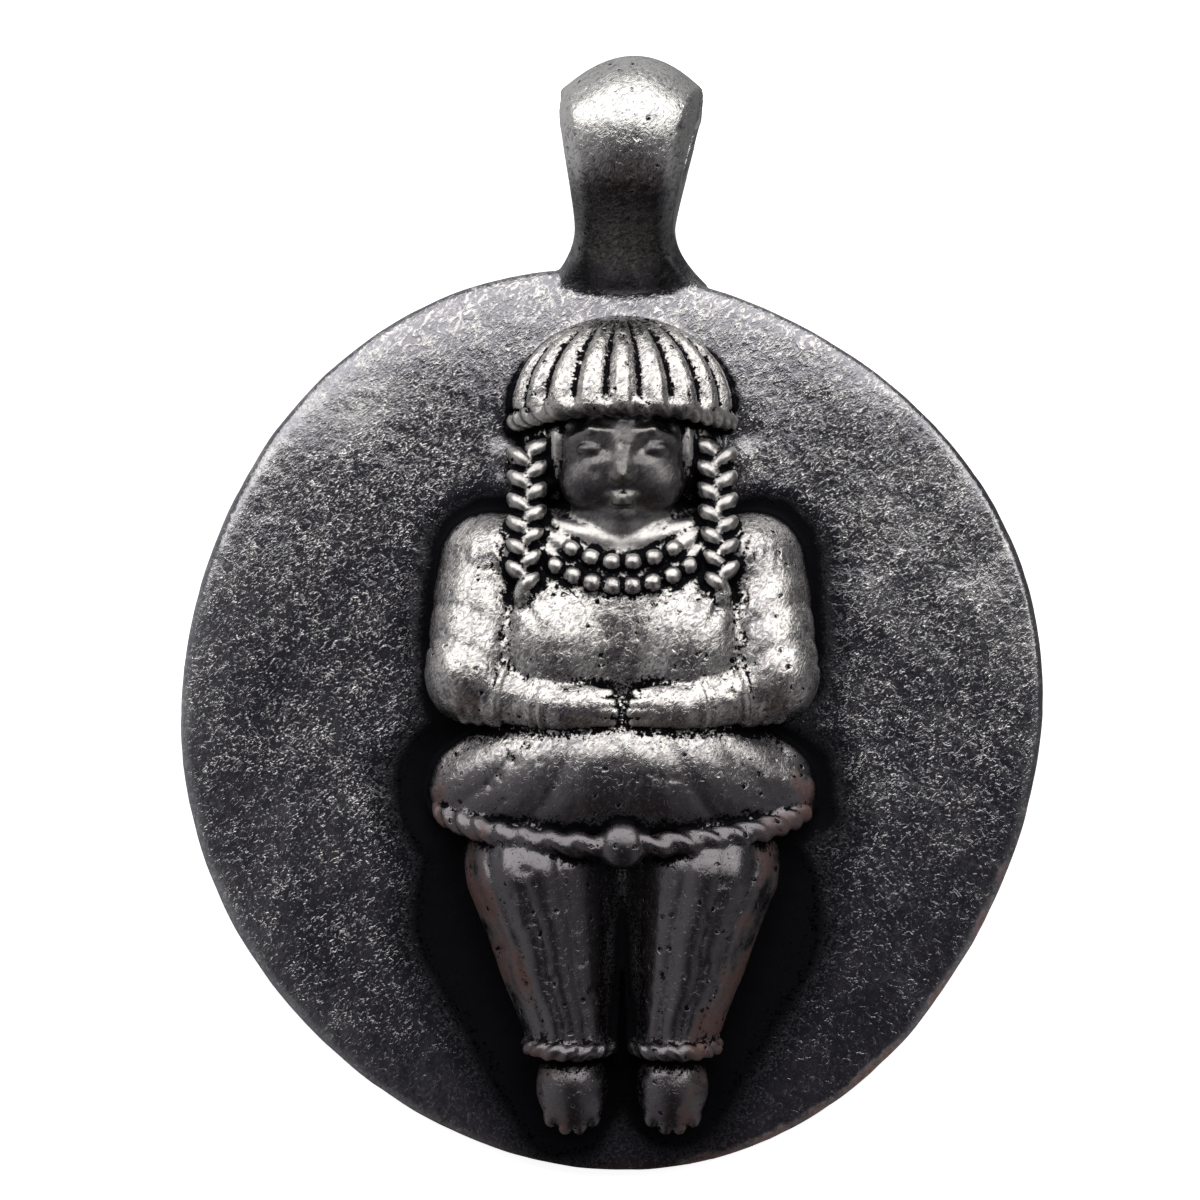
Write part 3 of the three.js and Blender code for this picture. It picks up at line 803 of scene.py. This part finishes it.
def one_piece_back(corners, quads):
    """Takes the many quads of the flat back out and closes it with one face."""
    flat = (np.abs(corners[quads][:, :, 2]) < 0.004).all(1)
    edges = np.concatenate([quads[flat][:, [i, (i + 1) % 4]] for i in range(4)])
    twins = {(b, a) for a, b in edges.tolist()}
    onward = {a: b for a, b in edges.tolist() if (a, b) not in twins}
    first = next(iter(onward))
    rim = [first]
    while onward[rim[-1]] != first:
        rim.append(onward[rim[-1]])
    if len(rim) != len(onward):
        raise RuntimeError("the back's rim isn't one loop")
    faces = [tuple(quad) for quad in quads[~flat].tolist()] + [tuple(rim)]
    used = np.unique(np.concatenate([quads[~flat].ravel(), rim]))
    number = np.full(len(corners), -1)
    number[used] = np.arange(len(used))
    return corners[used], [tuple(number[list(face)].tolist()) for face in faces]


# How the soot round the figure broadens, and its edge softens, down the disc. Each step is a lower
# and an upper place, measured down from the disc's centre, and what it adds in millimetres.
SOOT_WIDTH, SOOT_FADE = 0.02, 0.25
WIDTH_STEPS = ((-14.5, -12.0, 0.2), (-10.0, -8.0, 0.5), (3.0, 9.0, 1.4), (10.5, 15.0, -1.4))
FADE_STEPS = ((-14.5, -12.0, 0.15), (-10.0, -5.0, 1.9))


def soot_round_figure(off, p, above):
    """The black left round the figure: broad beside the legs, thin round the head."""
    below = -p[1]
    beside_belly = (0.8 - 0.4 * eased(p[0], -1, 1)) * eased(below, -3, 2)
    width = grown(below, SOOT_WIDTH, WIDTH_STEPS) + beside_belly
    ragged = 0.35 * waver_noise(p[0] / 2.2 + 60, p[1] / 2.2 + 60) * eased(below, -13, -9)
    share = 0.5 + (off - width + ragged) / grown(below, SOOT_FADE, FADE_STEPS)
    return (1 - np.clip(share, 0, 1)) * fading(above, 0.3, 1.0)


def painted_shade_film(p, above, on_bail, face):
    """Painted shade: a thin dark film over the bail's neck, the face, the belly and the legs."""
    aside = np.abs(p[0] - NECK_X)
    neck = on_bail * fading(p[1], 19.0, 20.6) * fading(aside, 2.1, 2.7)
    neck = neck * (1 - 0.3 * eased(aside, 1.3, 1.8))
    lower_body = 0.58 * fading(p[1], -4.5, -0.5) * eased(above, 0.3, 0.8)
    return np.maximum(neck, np.maximum(lower_body, 0.8 * face))


def stained_edges(off, p, above, away_x):
    """The steep sides of the belly and legs, and the disc's rim at the lower right."""
    sides = eased(off, -1.7, -0.4) * eased(above, 0.1, 0.5)
    sides = sides * fading(p[1], -3, 1) * eased(away_x, 1.4, 2.2)
    inward = np.hypot(p[0], p[1]) - outline_radius(p[0], p[1])
    return np.maximum(sides, eased(inward, -0.9, -0.1) * eased(p[0] - p[1], 14, 20))


def surface_marks(corners, field, ground):
    """Where the skin is hollow, worn, raised or next to the figure, and where painted shade and painted
    light go, from 0 to 1 at each corner.
    """
    p = corners.T
    slope = field_slope(p, field)
    out = slope / np.maximum(np.linalg.norm(slope, axis=0), 1e-6)
    shut = sum(
        weight * np.clip(1 - field(p + out * reach) / reach, 0, 1) for reach, weight in HOLLOW_REACHES
    )
    off = ground(p[0], p[1])
    above = p[2] - FIGURE_BASE
    away_x = np.abs(p[0] - FIGURE_X)
    on_bail = eased(p[1], 15.6, 15.9) * fading(bail_field(p), 0.04, 0.12)
    on_head = eased(p[1], 4.6, 5.4) * fading(p[1], 11.1, 11.5)
    on_head = on_head * fading(away_x, 4.2, 4.6) * eased(above, 0.6, 1.1)
    face = on_head * fading(away_x, 2.2, 2.6) * eased(p[1], 7.0, 7.4)
    kept = np.where(p[1] > 14.6, 0.06, 0.3)
    kept = kept + (1 - kept) * eased(above, 0.0, 0.4)
    kept = kept * (1 - 0.65 * face * fading(away_x, 1.6, 2.2))
    on_disc = fading(above, 0.1, 0.5)
    # painted shade: towards the lower right the disc's face loses bright dashes and weave and gains
    # dark crackle and speckle, so it reads darker there
    lower_right = eased(0.4 * p[0] - p[1], 4, 13)
    return {
        "hollow": shut * kept,
        "worn": np.clip(1 + field(p - out * 0.3) / 0.3, 0, 1),
        "halo": soot_round_figure(off, p, above),
        "raised": eased(above, 0.15, 0.9),
        # painted shade over the bail's neck, the face, the belly and the legs
        "painted_shade": painted_shade_film(p, above, on_bail, face),
        "strap": on_bail,
        # painted light: marks the upper body for barer, brighter metal than the legs
        "brighter_upper_body": eased(p[1], -3.8, 0.5) * eased(above, 0.2, 0.8),
        "level": eased(out[2], 0.8, 0.97) * on_disc * (1 - 0.75 * lower_right),
        "scaly": eased(p[1] + 0.1 * p[0], 9.7, 14.7) * on_disc,
        "fine": on_head,
        "edge": stained_edges(off, p, above, away_x),
    }


def build_casting(sizes):
    """One closed mesh for the disc, the figure and the bail."""
    ground = ground_distance(sizes)

    def field(p):
        return pendant_field(p, sizes, ground)

    corners, quads = cast_surface(field, sizes)
    corners, faces = one_piece_back(corners, quads)
    mesh = bpy.data.meshes.new("pewter_pendant")
    mesh.from_pydata((corners * MM).tolist(), [], faces)
    mesh.update()
    mesh.shade_smooth()
    mesh.polygons[len(faces) - 1].use_smooth = False
    marks = surface_marks(corners, field, ground)
    for name, values in marks.items():
        mesh.attributes.new(name, "FLOAT", "POINT").data.foreach_set("value", values.astype(np.float32))
    cast_skin_group()
    pewter_group()
    mesh.materials.append(antiqued_pewter(marks))
    mesh.materials.append(ground_pewter())
    mesh.polygons[len(faces) - 1].material_index = 1
    piece = bpy.data.objects.new("pewter_pendant", mesh)
    bpy.context.scene.collection.objects.link(piece)
    return piece


def add_node(tree, kind, inputs=None, **settings):
    """Adds a node, sets its inputs to values or joins them to sockets, and sets its own settings."""
    node = tree.nodes.new(kind)
    for name, value in settings.items():
        setattr(node, name, value)
    for name, value in (inputs or {}).items():
        if isinstance(value, bpy.types.NodeSocket):
            tree.links.new(value, node.inputs[name])
        else:
            node.inputs[name].default_value = value
    return node


def maths(tree, operation, *values, clamp=False):
    """One operation on numbers or sockets."""
    inputs = dict(enumerate(values))
    return add_node(tree, "ShaderNodeMath", inputs, operation=operation, use_clamp=clamp).outputs[0]


def summed(tree, start, *parts):
    """start, plus each value times its weight."""
    for value, weight in parts:
        start = maths(tree, "MULTIPLY_ADD", value, weight, start)
    return start


def product(tree, *values):
    """All the values multiplied together."""
    result = values[0]
    for value in values[1:]:
        result = maths(tree, "MULTIPLY", result, value)
    return result


def left_by(tree, value, share=1.0):
    """What is left of 1 where the value takes a share away."""
    return summed(tree, 1.0, (value, -share))


def step_between(tree, value, low, high):
    """0 below low and 1 above high."""
    inputs = {"Value": value, "From Min": low, "From Max": high}
    return add_node(tree, "ShaderNodeMapRange", inputs, interpolation_type="SMOOTHSTEP").outputs[0]


def mixed(tree, share, first, second):
    """A colour between two others."""
    inputs = {"Factor": share, "A": first, "B": second}
    return add_node(tree, "ShaderNodeMix", inputs, data_type="RGBA").outputs["Result"]


def attribute(tree, name):
    """A mark that surface_marks has left on the mesh."""
    return add_node(tree, "ShaderNodeAttribute", attribute_name=name).outputs["Fac"]


def rgba(colour):
    """A colour for a socket, which also takes an alpha."""
    return (*colour, 1.0)


def group(name, inputs, outputs):
    """An empty group of nodes, with the sockets that go in and come out."""
    tree = bpy.data.node_groups.new(name, "ShaderNodeTree")
    for label, kind in inputs.items():
        tree.interface.new_socket(label, in_out="INPUT", socket_type="NodeSocket" + kind)
    for label, kind in outputs.items():
        tree.interface.new_socket(label, in_out="OUTPUT", socket_type="NodeSocket" + kind)
    return tree, tree.nodes.new("NodeGroupInput").outputs, tree.nodes.new("NodeGroupOutput").inputs


def use_group(tree, name, inputs):
    """Places a group of nodes, and gives its outputs."""
    return add_node(tree, "ShaderNodeGroup", inputs, node_tree=bpy.data.node_groups[name]).outputs


def noise(tree, place, scale, detail=2, roughness=0.5, distortion=0):
    """A cloudy texture, with about scale clouds to a millimetre."""
    inputs = {"Vector": place, "Scale": scale, "Detail": detail, "Roughness": roughness}
    inputs["Distortion"] = distortion
    return add_node(tree, "ShaderNodeTexNoise", inputs).outputs["Fac"]


def cast_skin_group():
    """The textures of the cast skin, measured in millimetres."""
    names = ("Crackle", "Weave", "Scales", "Dashes", "Lumps", "Clouds", "Pits", "Speckle")
    tree, given, result = group("cast_skin", {"Place": "Vector"}, dict.fromkeys(names, "Float"))
    place = given["Place"]
    drawn = {"Vector": place, "Rotation": (0, 0, 0.75), "Scale": (1.8, 1.0, 1.0)}
    drawn = add_node(tree, "ShaderNodeMapping", drawn, vector_type="TEXTURE").outputs[0]
    lumps = noise(tree, place, 1.3, 2)
    weave = noise(tree, drawn, 8.0, 2, 0.5, 1.6)
    spots = add_node(tree, "ShaderNodeTexVoronoi", {"Vector": place, "Scale": 1.5}).outputs["Distance"]
    ragged = summed(tree, spots, (noise(tree, place, 5, 1), 0.3))
    made = {
        "Crackle": step_between(tree, noise(tree, place, 4.4, 3, 0.6, 1.1), 0.52, 0.76),
        "Weave": weave,
        "Scales": noise(tree, drawn, 4.6, 3, 0.6, 1.6),
        "Dashes": step_between(tree, summed(tree, weave, (lumps, 0.25)), 0.72, 0.9),
        "Lumps": lumps,
        "Clouds": noise(tree, place, 0.5, 4, 0.65),
        "Pits": step_between(tree, ragged, 0.36, 0.24),
        "Speckle": noise(tree, place, 7.5, 3, 0.65),
    }
    for name, texture in made.items():
        tree.links.new(texture, result[name])


STAIN_COVER = 0.7  # how much of the metal a full brown stain hides


def pewter_group():
    """Pewter between bare and tarnished, under shares of brown stain and of black patina."""
    colours = bpy.context.scene.finish_colours
    names = ("Bare", "Black", "Brown", "Clouds", "Satin")
    outputs = {"Colour": "Color", "Metallic": "Float", "Roughness": "Float"}
    tree, given, result = group("pewter", dict.fromkeys(names, "Float"), outputs)
    clouded = summed(tree, -0.6, (given["Clouds"], 1.2))
    bare = maths(tree, "ADD", given["Bare"], clouded, clamp=True)
    metal = mixed(tree, bare, rgba(colours.tarnish), rgba(colours.silver))
    metal = mixed(tree, product(tree, given["Brown"], STAIN_COVER), metal, rgba(colours.stain))
    tree.links.new(mixed(tree, given["Black"], metal, rgba(colours.patina_and_shade)), result["Colour"])
    metallic = product(tree, left_by(tree, given["Brown"], STAIN_COVER), left_by(tree, given["Black"]))
    tree.links.new(metallic, result["Metallic"])
    spread = {"Value": given["Satin"], "To Min": colours.gloss, "To Max": colours.dullness}
    gloss = add_node(tree, "ShaderNodeMapRange", spread, clamp=False).outputs[0]
    gloss = summed(tree, gloss, (given["Brown"], 0.15))
    dulled = {"Factor": given["Black"], "A": gloss, "B": 0.6}
    tree.links.new(add_node(tree, "ShaderNodeMix", dulled).outputs["Result"], result["Roughness"])


def place_in_mm(tree):
    """Where a point is on the piece, in millimetres."""
    place = {0: add_node(tree, "ShaderNodeTexCoord").outputs["Object"], "Scale": 1 / MM}
    return add_node(tree, "ShaderNodeVectorMath", place, operation="SCALE").outputs[0]


def stretched(tree, place, factors):
    """A place multiplied by one factor for each axis."""
    inputs = {0: place, 1: factors}
    return add_node(tree, "ShaderNodeVectorMath", inputs, operation="MULTIPLY").outputs[0]


# How much each mark and texture adds to the soot, to the bare metal, and to the height in millimetres
SOOT = {"halo": 0.9, "hollow": 1.5, "low": 0.9, "speckle": 2.6, "pits": 0.6}
BARED = {
    "raised": -0.11,
    # painted light: barer, brighter metal on the upper body than on the legs
    "brighter_upper_body": 0.6,
    "edges": 1.0,
    "low": -1.2,
    "speckle": -1.6,
    "halo": -0.8,
    "hollow": -0.8,
    # painted shade: less bare metal under the painted shade film
    "painted_shade": -0.6,
    "dashes": 0.8,
    "weave": 1.0,
    "scales": 4.4,
    "scaly": -0.08,
    "strap": 0.35,
}
HEIGHTS = {
    "crackle": 1.0,
    "dashes": 0.009,
    "weave": 0.01,
    "scales": 0.022,
    "lumps": 0.035,
    "pits": -0.02,
}


def finish_shader(tree, metal, height):
    """Joins the metal and a height in millimetres to the material's shader."""
    shader = tree.nodes["Principled BSDF"]
    tree.links.new(metal["Colour"], shader.inputs["Base Color"])
    tree.links.new(metal["Metallic"], shader.inputs["Metallic"])
    tree.links.new(metal["Roughness"], shader.inputs["Roughness"])
    shader.inputs["Specular IOR Level"].default_value = 0.03
    bump = add_node(tree, "ShaderNodeBump", {"Height": height, "Distance": MM})
    tree.links.new(bump.outputs["Normal"], shader.inputs["Normal"])


def new_material(name):
    """A material, its nodes, the place of each point in millimetres, and the cast skin's textures."""
    material = bpy.data.materials.new(name)
    material.use_nodes = True
    tree = material.node_tree
    place = place_in_mm(tree)
    return material, tree, place, use_group(tree, "cast_skin", {"Place": place})


def weighted(values, weights):
    """Each named value with its weight."""
    return ((values[name], weight) for name, weight in weights.items())


def antiqued_pewter(marks):
    """The finish of the face, the figure and the bail. marks are the names of the mesh's marks."""
    colours = bpy.context.scene.finish_colours
    material, tree, place, skin = new_material("antiqued_pewter")
    mark = {name: attribute(tree, name) for name in marks}
    # the upper body's mark is painted light: barer, brighter metal and brighter worn edges there than
    # on the legs
    raised, brighter_upper_body, level, strap = mark["raised"], mark["brighter_upper_body"], mark["level"], mark["strap"]
    coarse = left_by(tree, mark["fine"], 0.6)
    scaled = product(tree, maths(tree, "MAXIMUM", mark["scaly"], brighter_upper_body), coarse)
    crackle = summed(tree, 0.12, (skin["Crackle"], -0.5))
    speckle = maths(tree, "SUBTRACT", 0.5, skin["Speckle"])
    value = {
        **mark,
        "low": product(tree, crackle, coarse, left_by(tree, level, 0.7)),
        "dashes": product(tree, skin["Dashes"], level),
        "speckle": product(tree, speckle, coarse, left_by(tree, level, 0.6)),
        "pits": product(tree, skin["Pits"], raised, coarse),
        "edges": product(tree, mark["worn"], summed(tree, 0.4, (brighter_upper_body, 1.1))),
        "weave": product(tree, maths(tree, "SUBTRACT", skin["Weave"], 0.5), level),
        "scales": product(tree, maths(tree, "SUBTRACT", skin["Scales"], 0.5), scaled),
    }
    black = step_between(tree, summed(tree, 0.0, *weighted(value, SOOT)), 0.4, 0.75)
    # the film is painted shade over the bail's neck, the face, the belly and the legs; the halo adds
    # the real black patina round the figure
    film = product(tree, mark["painted_shade"], summed(tree, 0.56, (skin["Clouds"], 0.4)))
    film = maths(tree, "MULTIPLY_ADD", mark["halo"], 1.5, film, clamp=True)
    finish = {
        "Bare": summed(tree, 0.24, *weighted(value, BARED)),
        "Black": black,
        "Brown": step_between(tree, summed(tree, mark["edge"], (skin["Clouds"], 1.6)), 1.6, 1.95),
        "Clouds": skin["Clouds"],
        "Satin": summed(tree, raised, (mark["fine"], 0.5)),
    }
    metal = use_group(tree, "pewter", finish)
    relief = {
        **value,
        "crackle": product(tree, skin["Crackle"], summed(tree, 0.006, (raised, 0.003))),
        "weave": product(tree, skin["Weave"], level),
        "scales": product(tree, skin["Scales"], scaled),
        "lumps": skin["Lumps"],
    }
    height = product(tree, summed(tree, 0.0, *weighted(relief, HEIGHTS)), coarse)
    streaks = noise(tree, stretched(tree, place, (5.0, 0.7, 1.5)), 1.0, 3, 0.6, 0.4)
    height = summed(tree, height, (product(tree, streaks, strap), 0.01))
    warm = product(tree, raised, summed(tree, 0.1, (strap, -0.1)), left_by(tree, black))
    colour = mixed(tree, warm, metal["Colour"], rgba(colours.warmth))
    # darkens the colour towards the black where the painted shade film and the patina halo lie
    colour = mixed(tree, film, colour, rgba(colours.patina_and_shade))
    finish_shader(tree, {**dict(metal.items()), "Colour": colour}, height)
    return material


def ground_pewter():
    """The plainer finish of the flat back."""
    material, tree, place, skin = new_material("ground_pewter_back")
    strokes = noise(tree, stretched(tree, place, (0.25, 6.0, 1.0)), 1.6, 3, 0.6)
    specks = summed(tree, maths(tree, "SUBTRACT", 0.42, skin["Speckle"]), (skin["Pits"], 0.3))
    finish = {
        "Bare": summed(tree, -0.4, (strokes, 1.3)),
        "Black": step_between(tree, specks, 0.06, 0.3),
        "Brown": 0.0,
        "Clouds": skin["Clouds"],
        "Satin": 1.0,
    }
    height = summed(tree, 0.0, (skin["Crackle"], 0.005), (strokes, 0.012))
    finish_shader(tree, use_group(tree, "pewter", finish), height)
    return material


WINDOW = {
    "place": (-0.116, 0.321, 0.21),
    "aim": (-0.168, 0.026, -0.237),
    "width": 0.95,
    "height": 0.505,
    "colour": (1.0, 0.99, 0.965),
}
ROOM_DARK, ROOM_NEAR = (0.047, 0.044, 0.056), (0.05, 0.034, 0.033)
ROOM_SIDES, ROOM_WALL, ROOM_BOUNCE = (0.42, 0.42, 0.43), (0.17, 0.17, 0.175), (0.6, 0.6, 0.61)


def soft_light(name, power, place, aim, width, height, colour):
    """A large soft rectangle of light."""
    data = bpy.data.lights.new(name, "AREA")
    data.shape = "RECTANGLE"
    data.size, data.size_y = width, height
    data.energy = power
    data.color = colour
    lamp = bpy.data.objects.new(name, data)
    lamp.location = place
    lamp.rotation_euler = (Vector(aim) - Vector(place)).to_track_quat("-Z", "Y").to_euler()
    bpy.context.scene.collection.objects.link(lamp)


def lay_floor(settings):
    """A plain pale floor under the pendant's back."""
    half, below = 1.5, -0.00003
    mesh = bpy.data.meshes.new("floor")
    corners = [(-half, -half, below), (half, -half, below), (half, half, below), (-half, half, below)]
    mesh.from_pydata(corners, [], [(0, 1, 2, 3)])
    floor = bpy.data.objects.new("floor", mesh)
    bpy.context.scene.collection.objects.link(floor)
    material = bpy.data.materials.new("pale_floor")
    material.use_nodes = True
    shader = material.node_tree.nodes["Principled BSDF"]
    shader.inputs["Base Color"].default_value = rgba(settings.floor)
    shader.inputs["Roughness"].default_value = 0.9
    shader.inputs["Emission Color"].default_value = rgba(settings.floor)
    shader.inputs["Emission Strength"].default_value = 0.9
    mesh.materials.append(material)
    floor.visible_glossy = False


def set_camera(settings):
    """Looks straight down on the pendant, as the photograph does."""
    data = bpy.data.cameras.new("camera")
    camera = bpy.data.objects.new("camera", data)
    camera.location = (*PICTURE_CENTRE, CAD_FACE + settings.eye_height)
    data.lens = data.sensor_width * settings.eye_height / settings.view_width
    data.clip_start, data.clip_end = 0.01, 10
    bpy.context.scene.collection.objects.link(camera)
    bpy.context.scene.camera = camera


def set_room():
    """A dim room, lighter at the left and right, and a little warm on the near side."""
    world = bpy.data.worlds.new("room")
    world.use_nodes = True
    tree = world.node_tree
    way = add_node(tree, "ShaderNodeTexCoord").outputs["Generated"]
    way = add_node(tree, "ShaderNodeSeparateXYZ", {"Vector": way}).outputs
    aside = maths(tree, "ABSOLUTE", maths(tree, "SUBTRACT", way["X"], 0.05))
    sides = step_between(tree, aside, 0.05, 1.0)
    near_side = step_between(tree, way["Y"], -0.35, -0.95)
    colour = mixed(tree, near_side, rgba(ROOM_DARK), rgba(ROOM_NEAR))
    colour = mixed(tree, sides, colour, rgba(ROOM_SIDES))
    far_right = summed(tree, way["Y"], (way["X"], 0.6))
    to_right = step_between(tree, way["X"], -0.02, 0.06)
    wall = product(tree, step_between(tree, far_right, 0.05, 0.13), to_right)
    colour = mixed(tree, wall, colour, rgba(ROOM_WALL))
    far_left = summed(tree, way["Y"], (way["X"], -0.6))
    downward = step_between(tree, way["Z"], 0.2, -0.25)
    bounce = product(tree, downward, step_between(tree, far_left, 0.0, 0.7))
    colour = mixed(tree, bounce, colour, rgba(ROOM_BOUNCE))
    tree.links.new(colour, tree.nodes["Background"].inputs["Color"])
    bpy.context.scene.world = world


def set_light(settings):
    """A large window beyond the bail and to the left, in a dim room."""
    soft_light("window", settings.window, **WINDOW)
    set_room()
    bpy.context.scene.view_settings.view_transform = "Standard"


class PENDANT_OT_casting(bpy.types.Operator):
    """Casts the pendant in one piece, in place of its plain solid"""

    bl_idname = "pendant.casting"
    bl_label = "Cast the pendant"

    def execute(self, context):
        piece = build_casting(context.scene.casting_sizes)
        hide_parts("pendant")
        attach(piece, "root")
        return {"FINISHED"}


class PENDANT_OT_stage(bpy.types.Operator):
    """Lays the floor and sets the lights and the camera"""

    bl_idname = "pendant.stage"
    bl_label = "Set the stage"

    def execute(self, context):
        settings = context.scene.stage_settings
        lay_floor(settings)
        set_light(settings)
        set_camera(settings)
        return {"FINISHED"}


class PENDANT_PT_tools(bpy.types.Panel):
    """The tools that make the pendant, and the values they use"""

    bl_idname = "PENDANT_PT_tools"
    bl_label = "Pewter pendant"
    bl_space_type = "VIEW_3D"
    bl_region_type = "UI"
    bl_category = "Pendant"

    def draw(self, context):
        for tool in (PENDANT_OT_stage, PENDANT_OT_casting):
            self.layout.operator(tool.bl_idname)
        for name in SETTINGS:
            settings = getattr(context.scene, name)
            for value in settings.bl_rna.properties:
                if value.identifier not in ("rna_type", "name"):
                    self.layout.prop(settings, value.identifier)


SETTINGS = {
    "casting_sizes": CastingSizes,
    "finish_colours": FinishColours,
    "stage_settings": StageSettings,
}
CLASSES = (*SETTINGS.values(), PENDANT_OT_stage, PENDANT_OT_casting, PENDANT_PT_tools)


def register():
    """Registers the classes, and gives the scene their settings."""
    for new_class in CLASSES:
        bpy.utils.register_class(new_class)
    for name, kind in SETTINGS.items():
        setattr(bpy.types.Scene, name, PointerProperty(type=kind))


def unregister():
    """Takes the settings and the classes out again."""
    for name in SETTINGS:
        delattr(bpy.types.Scene, name)
    for old_class in reversed(CLASSES):
        bpy.utils.unregister_class(old_class)


def main():
    """Registers the tools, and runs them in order."""
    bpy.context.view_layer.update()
    register()
    bpy.ops.pendant.stage()
    bpy.ops.pendant.casting()


if __name__ == "__main__":
    main()
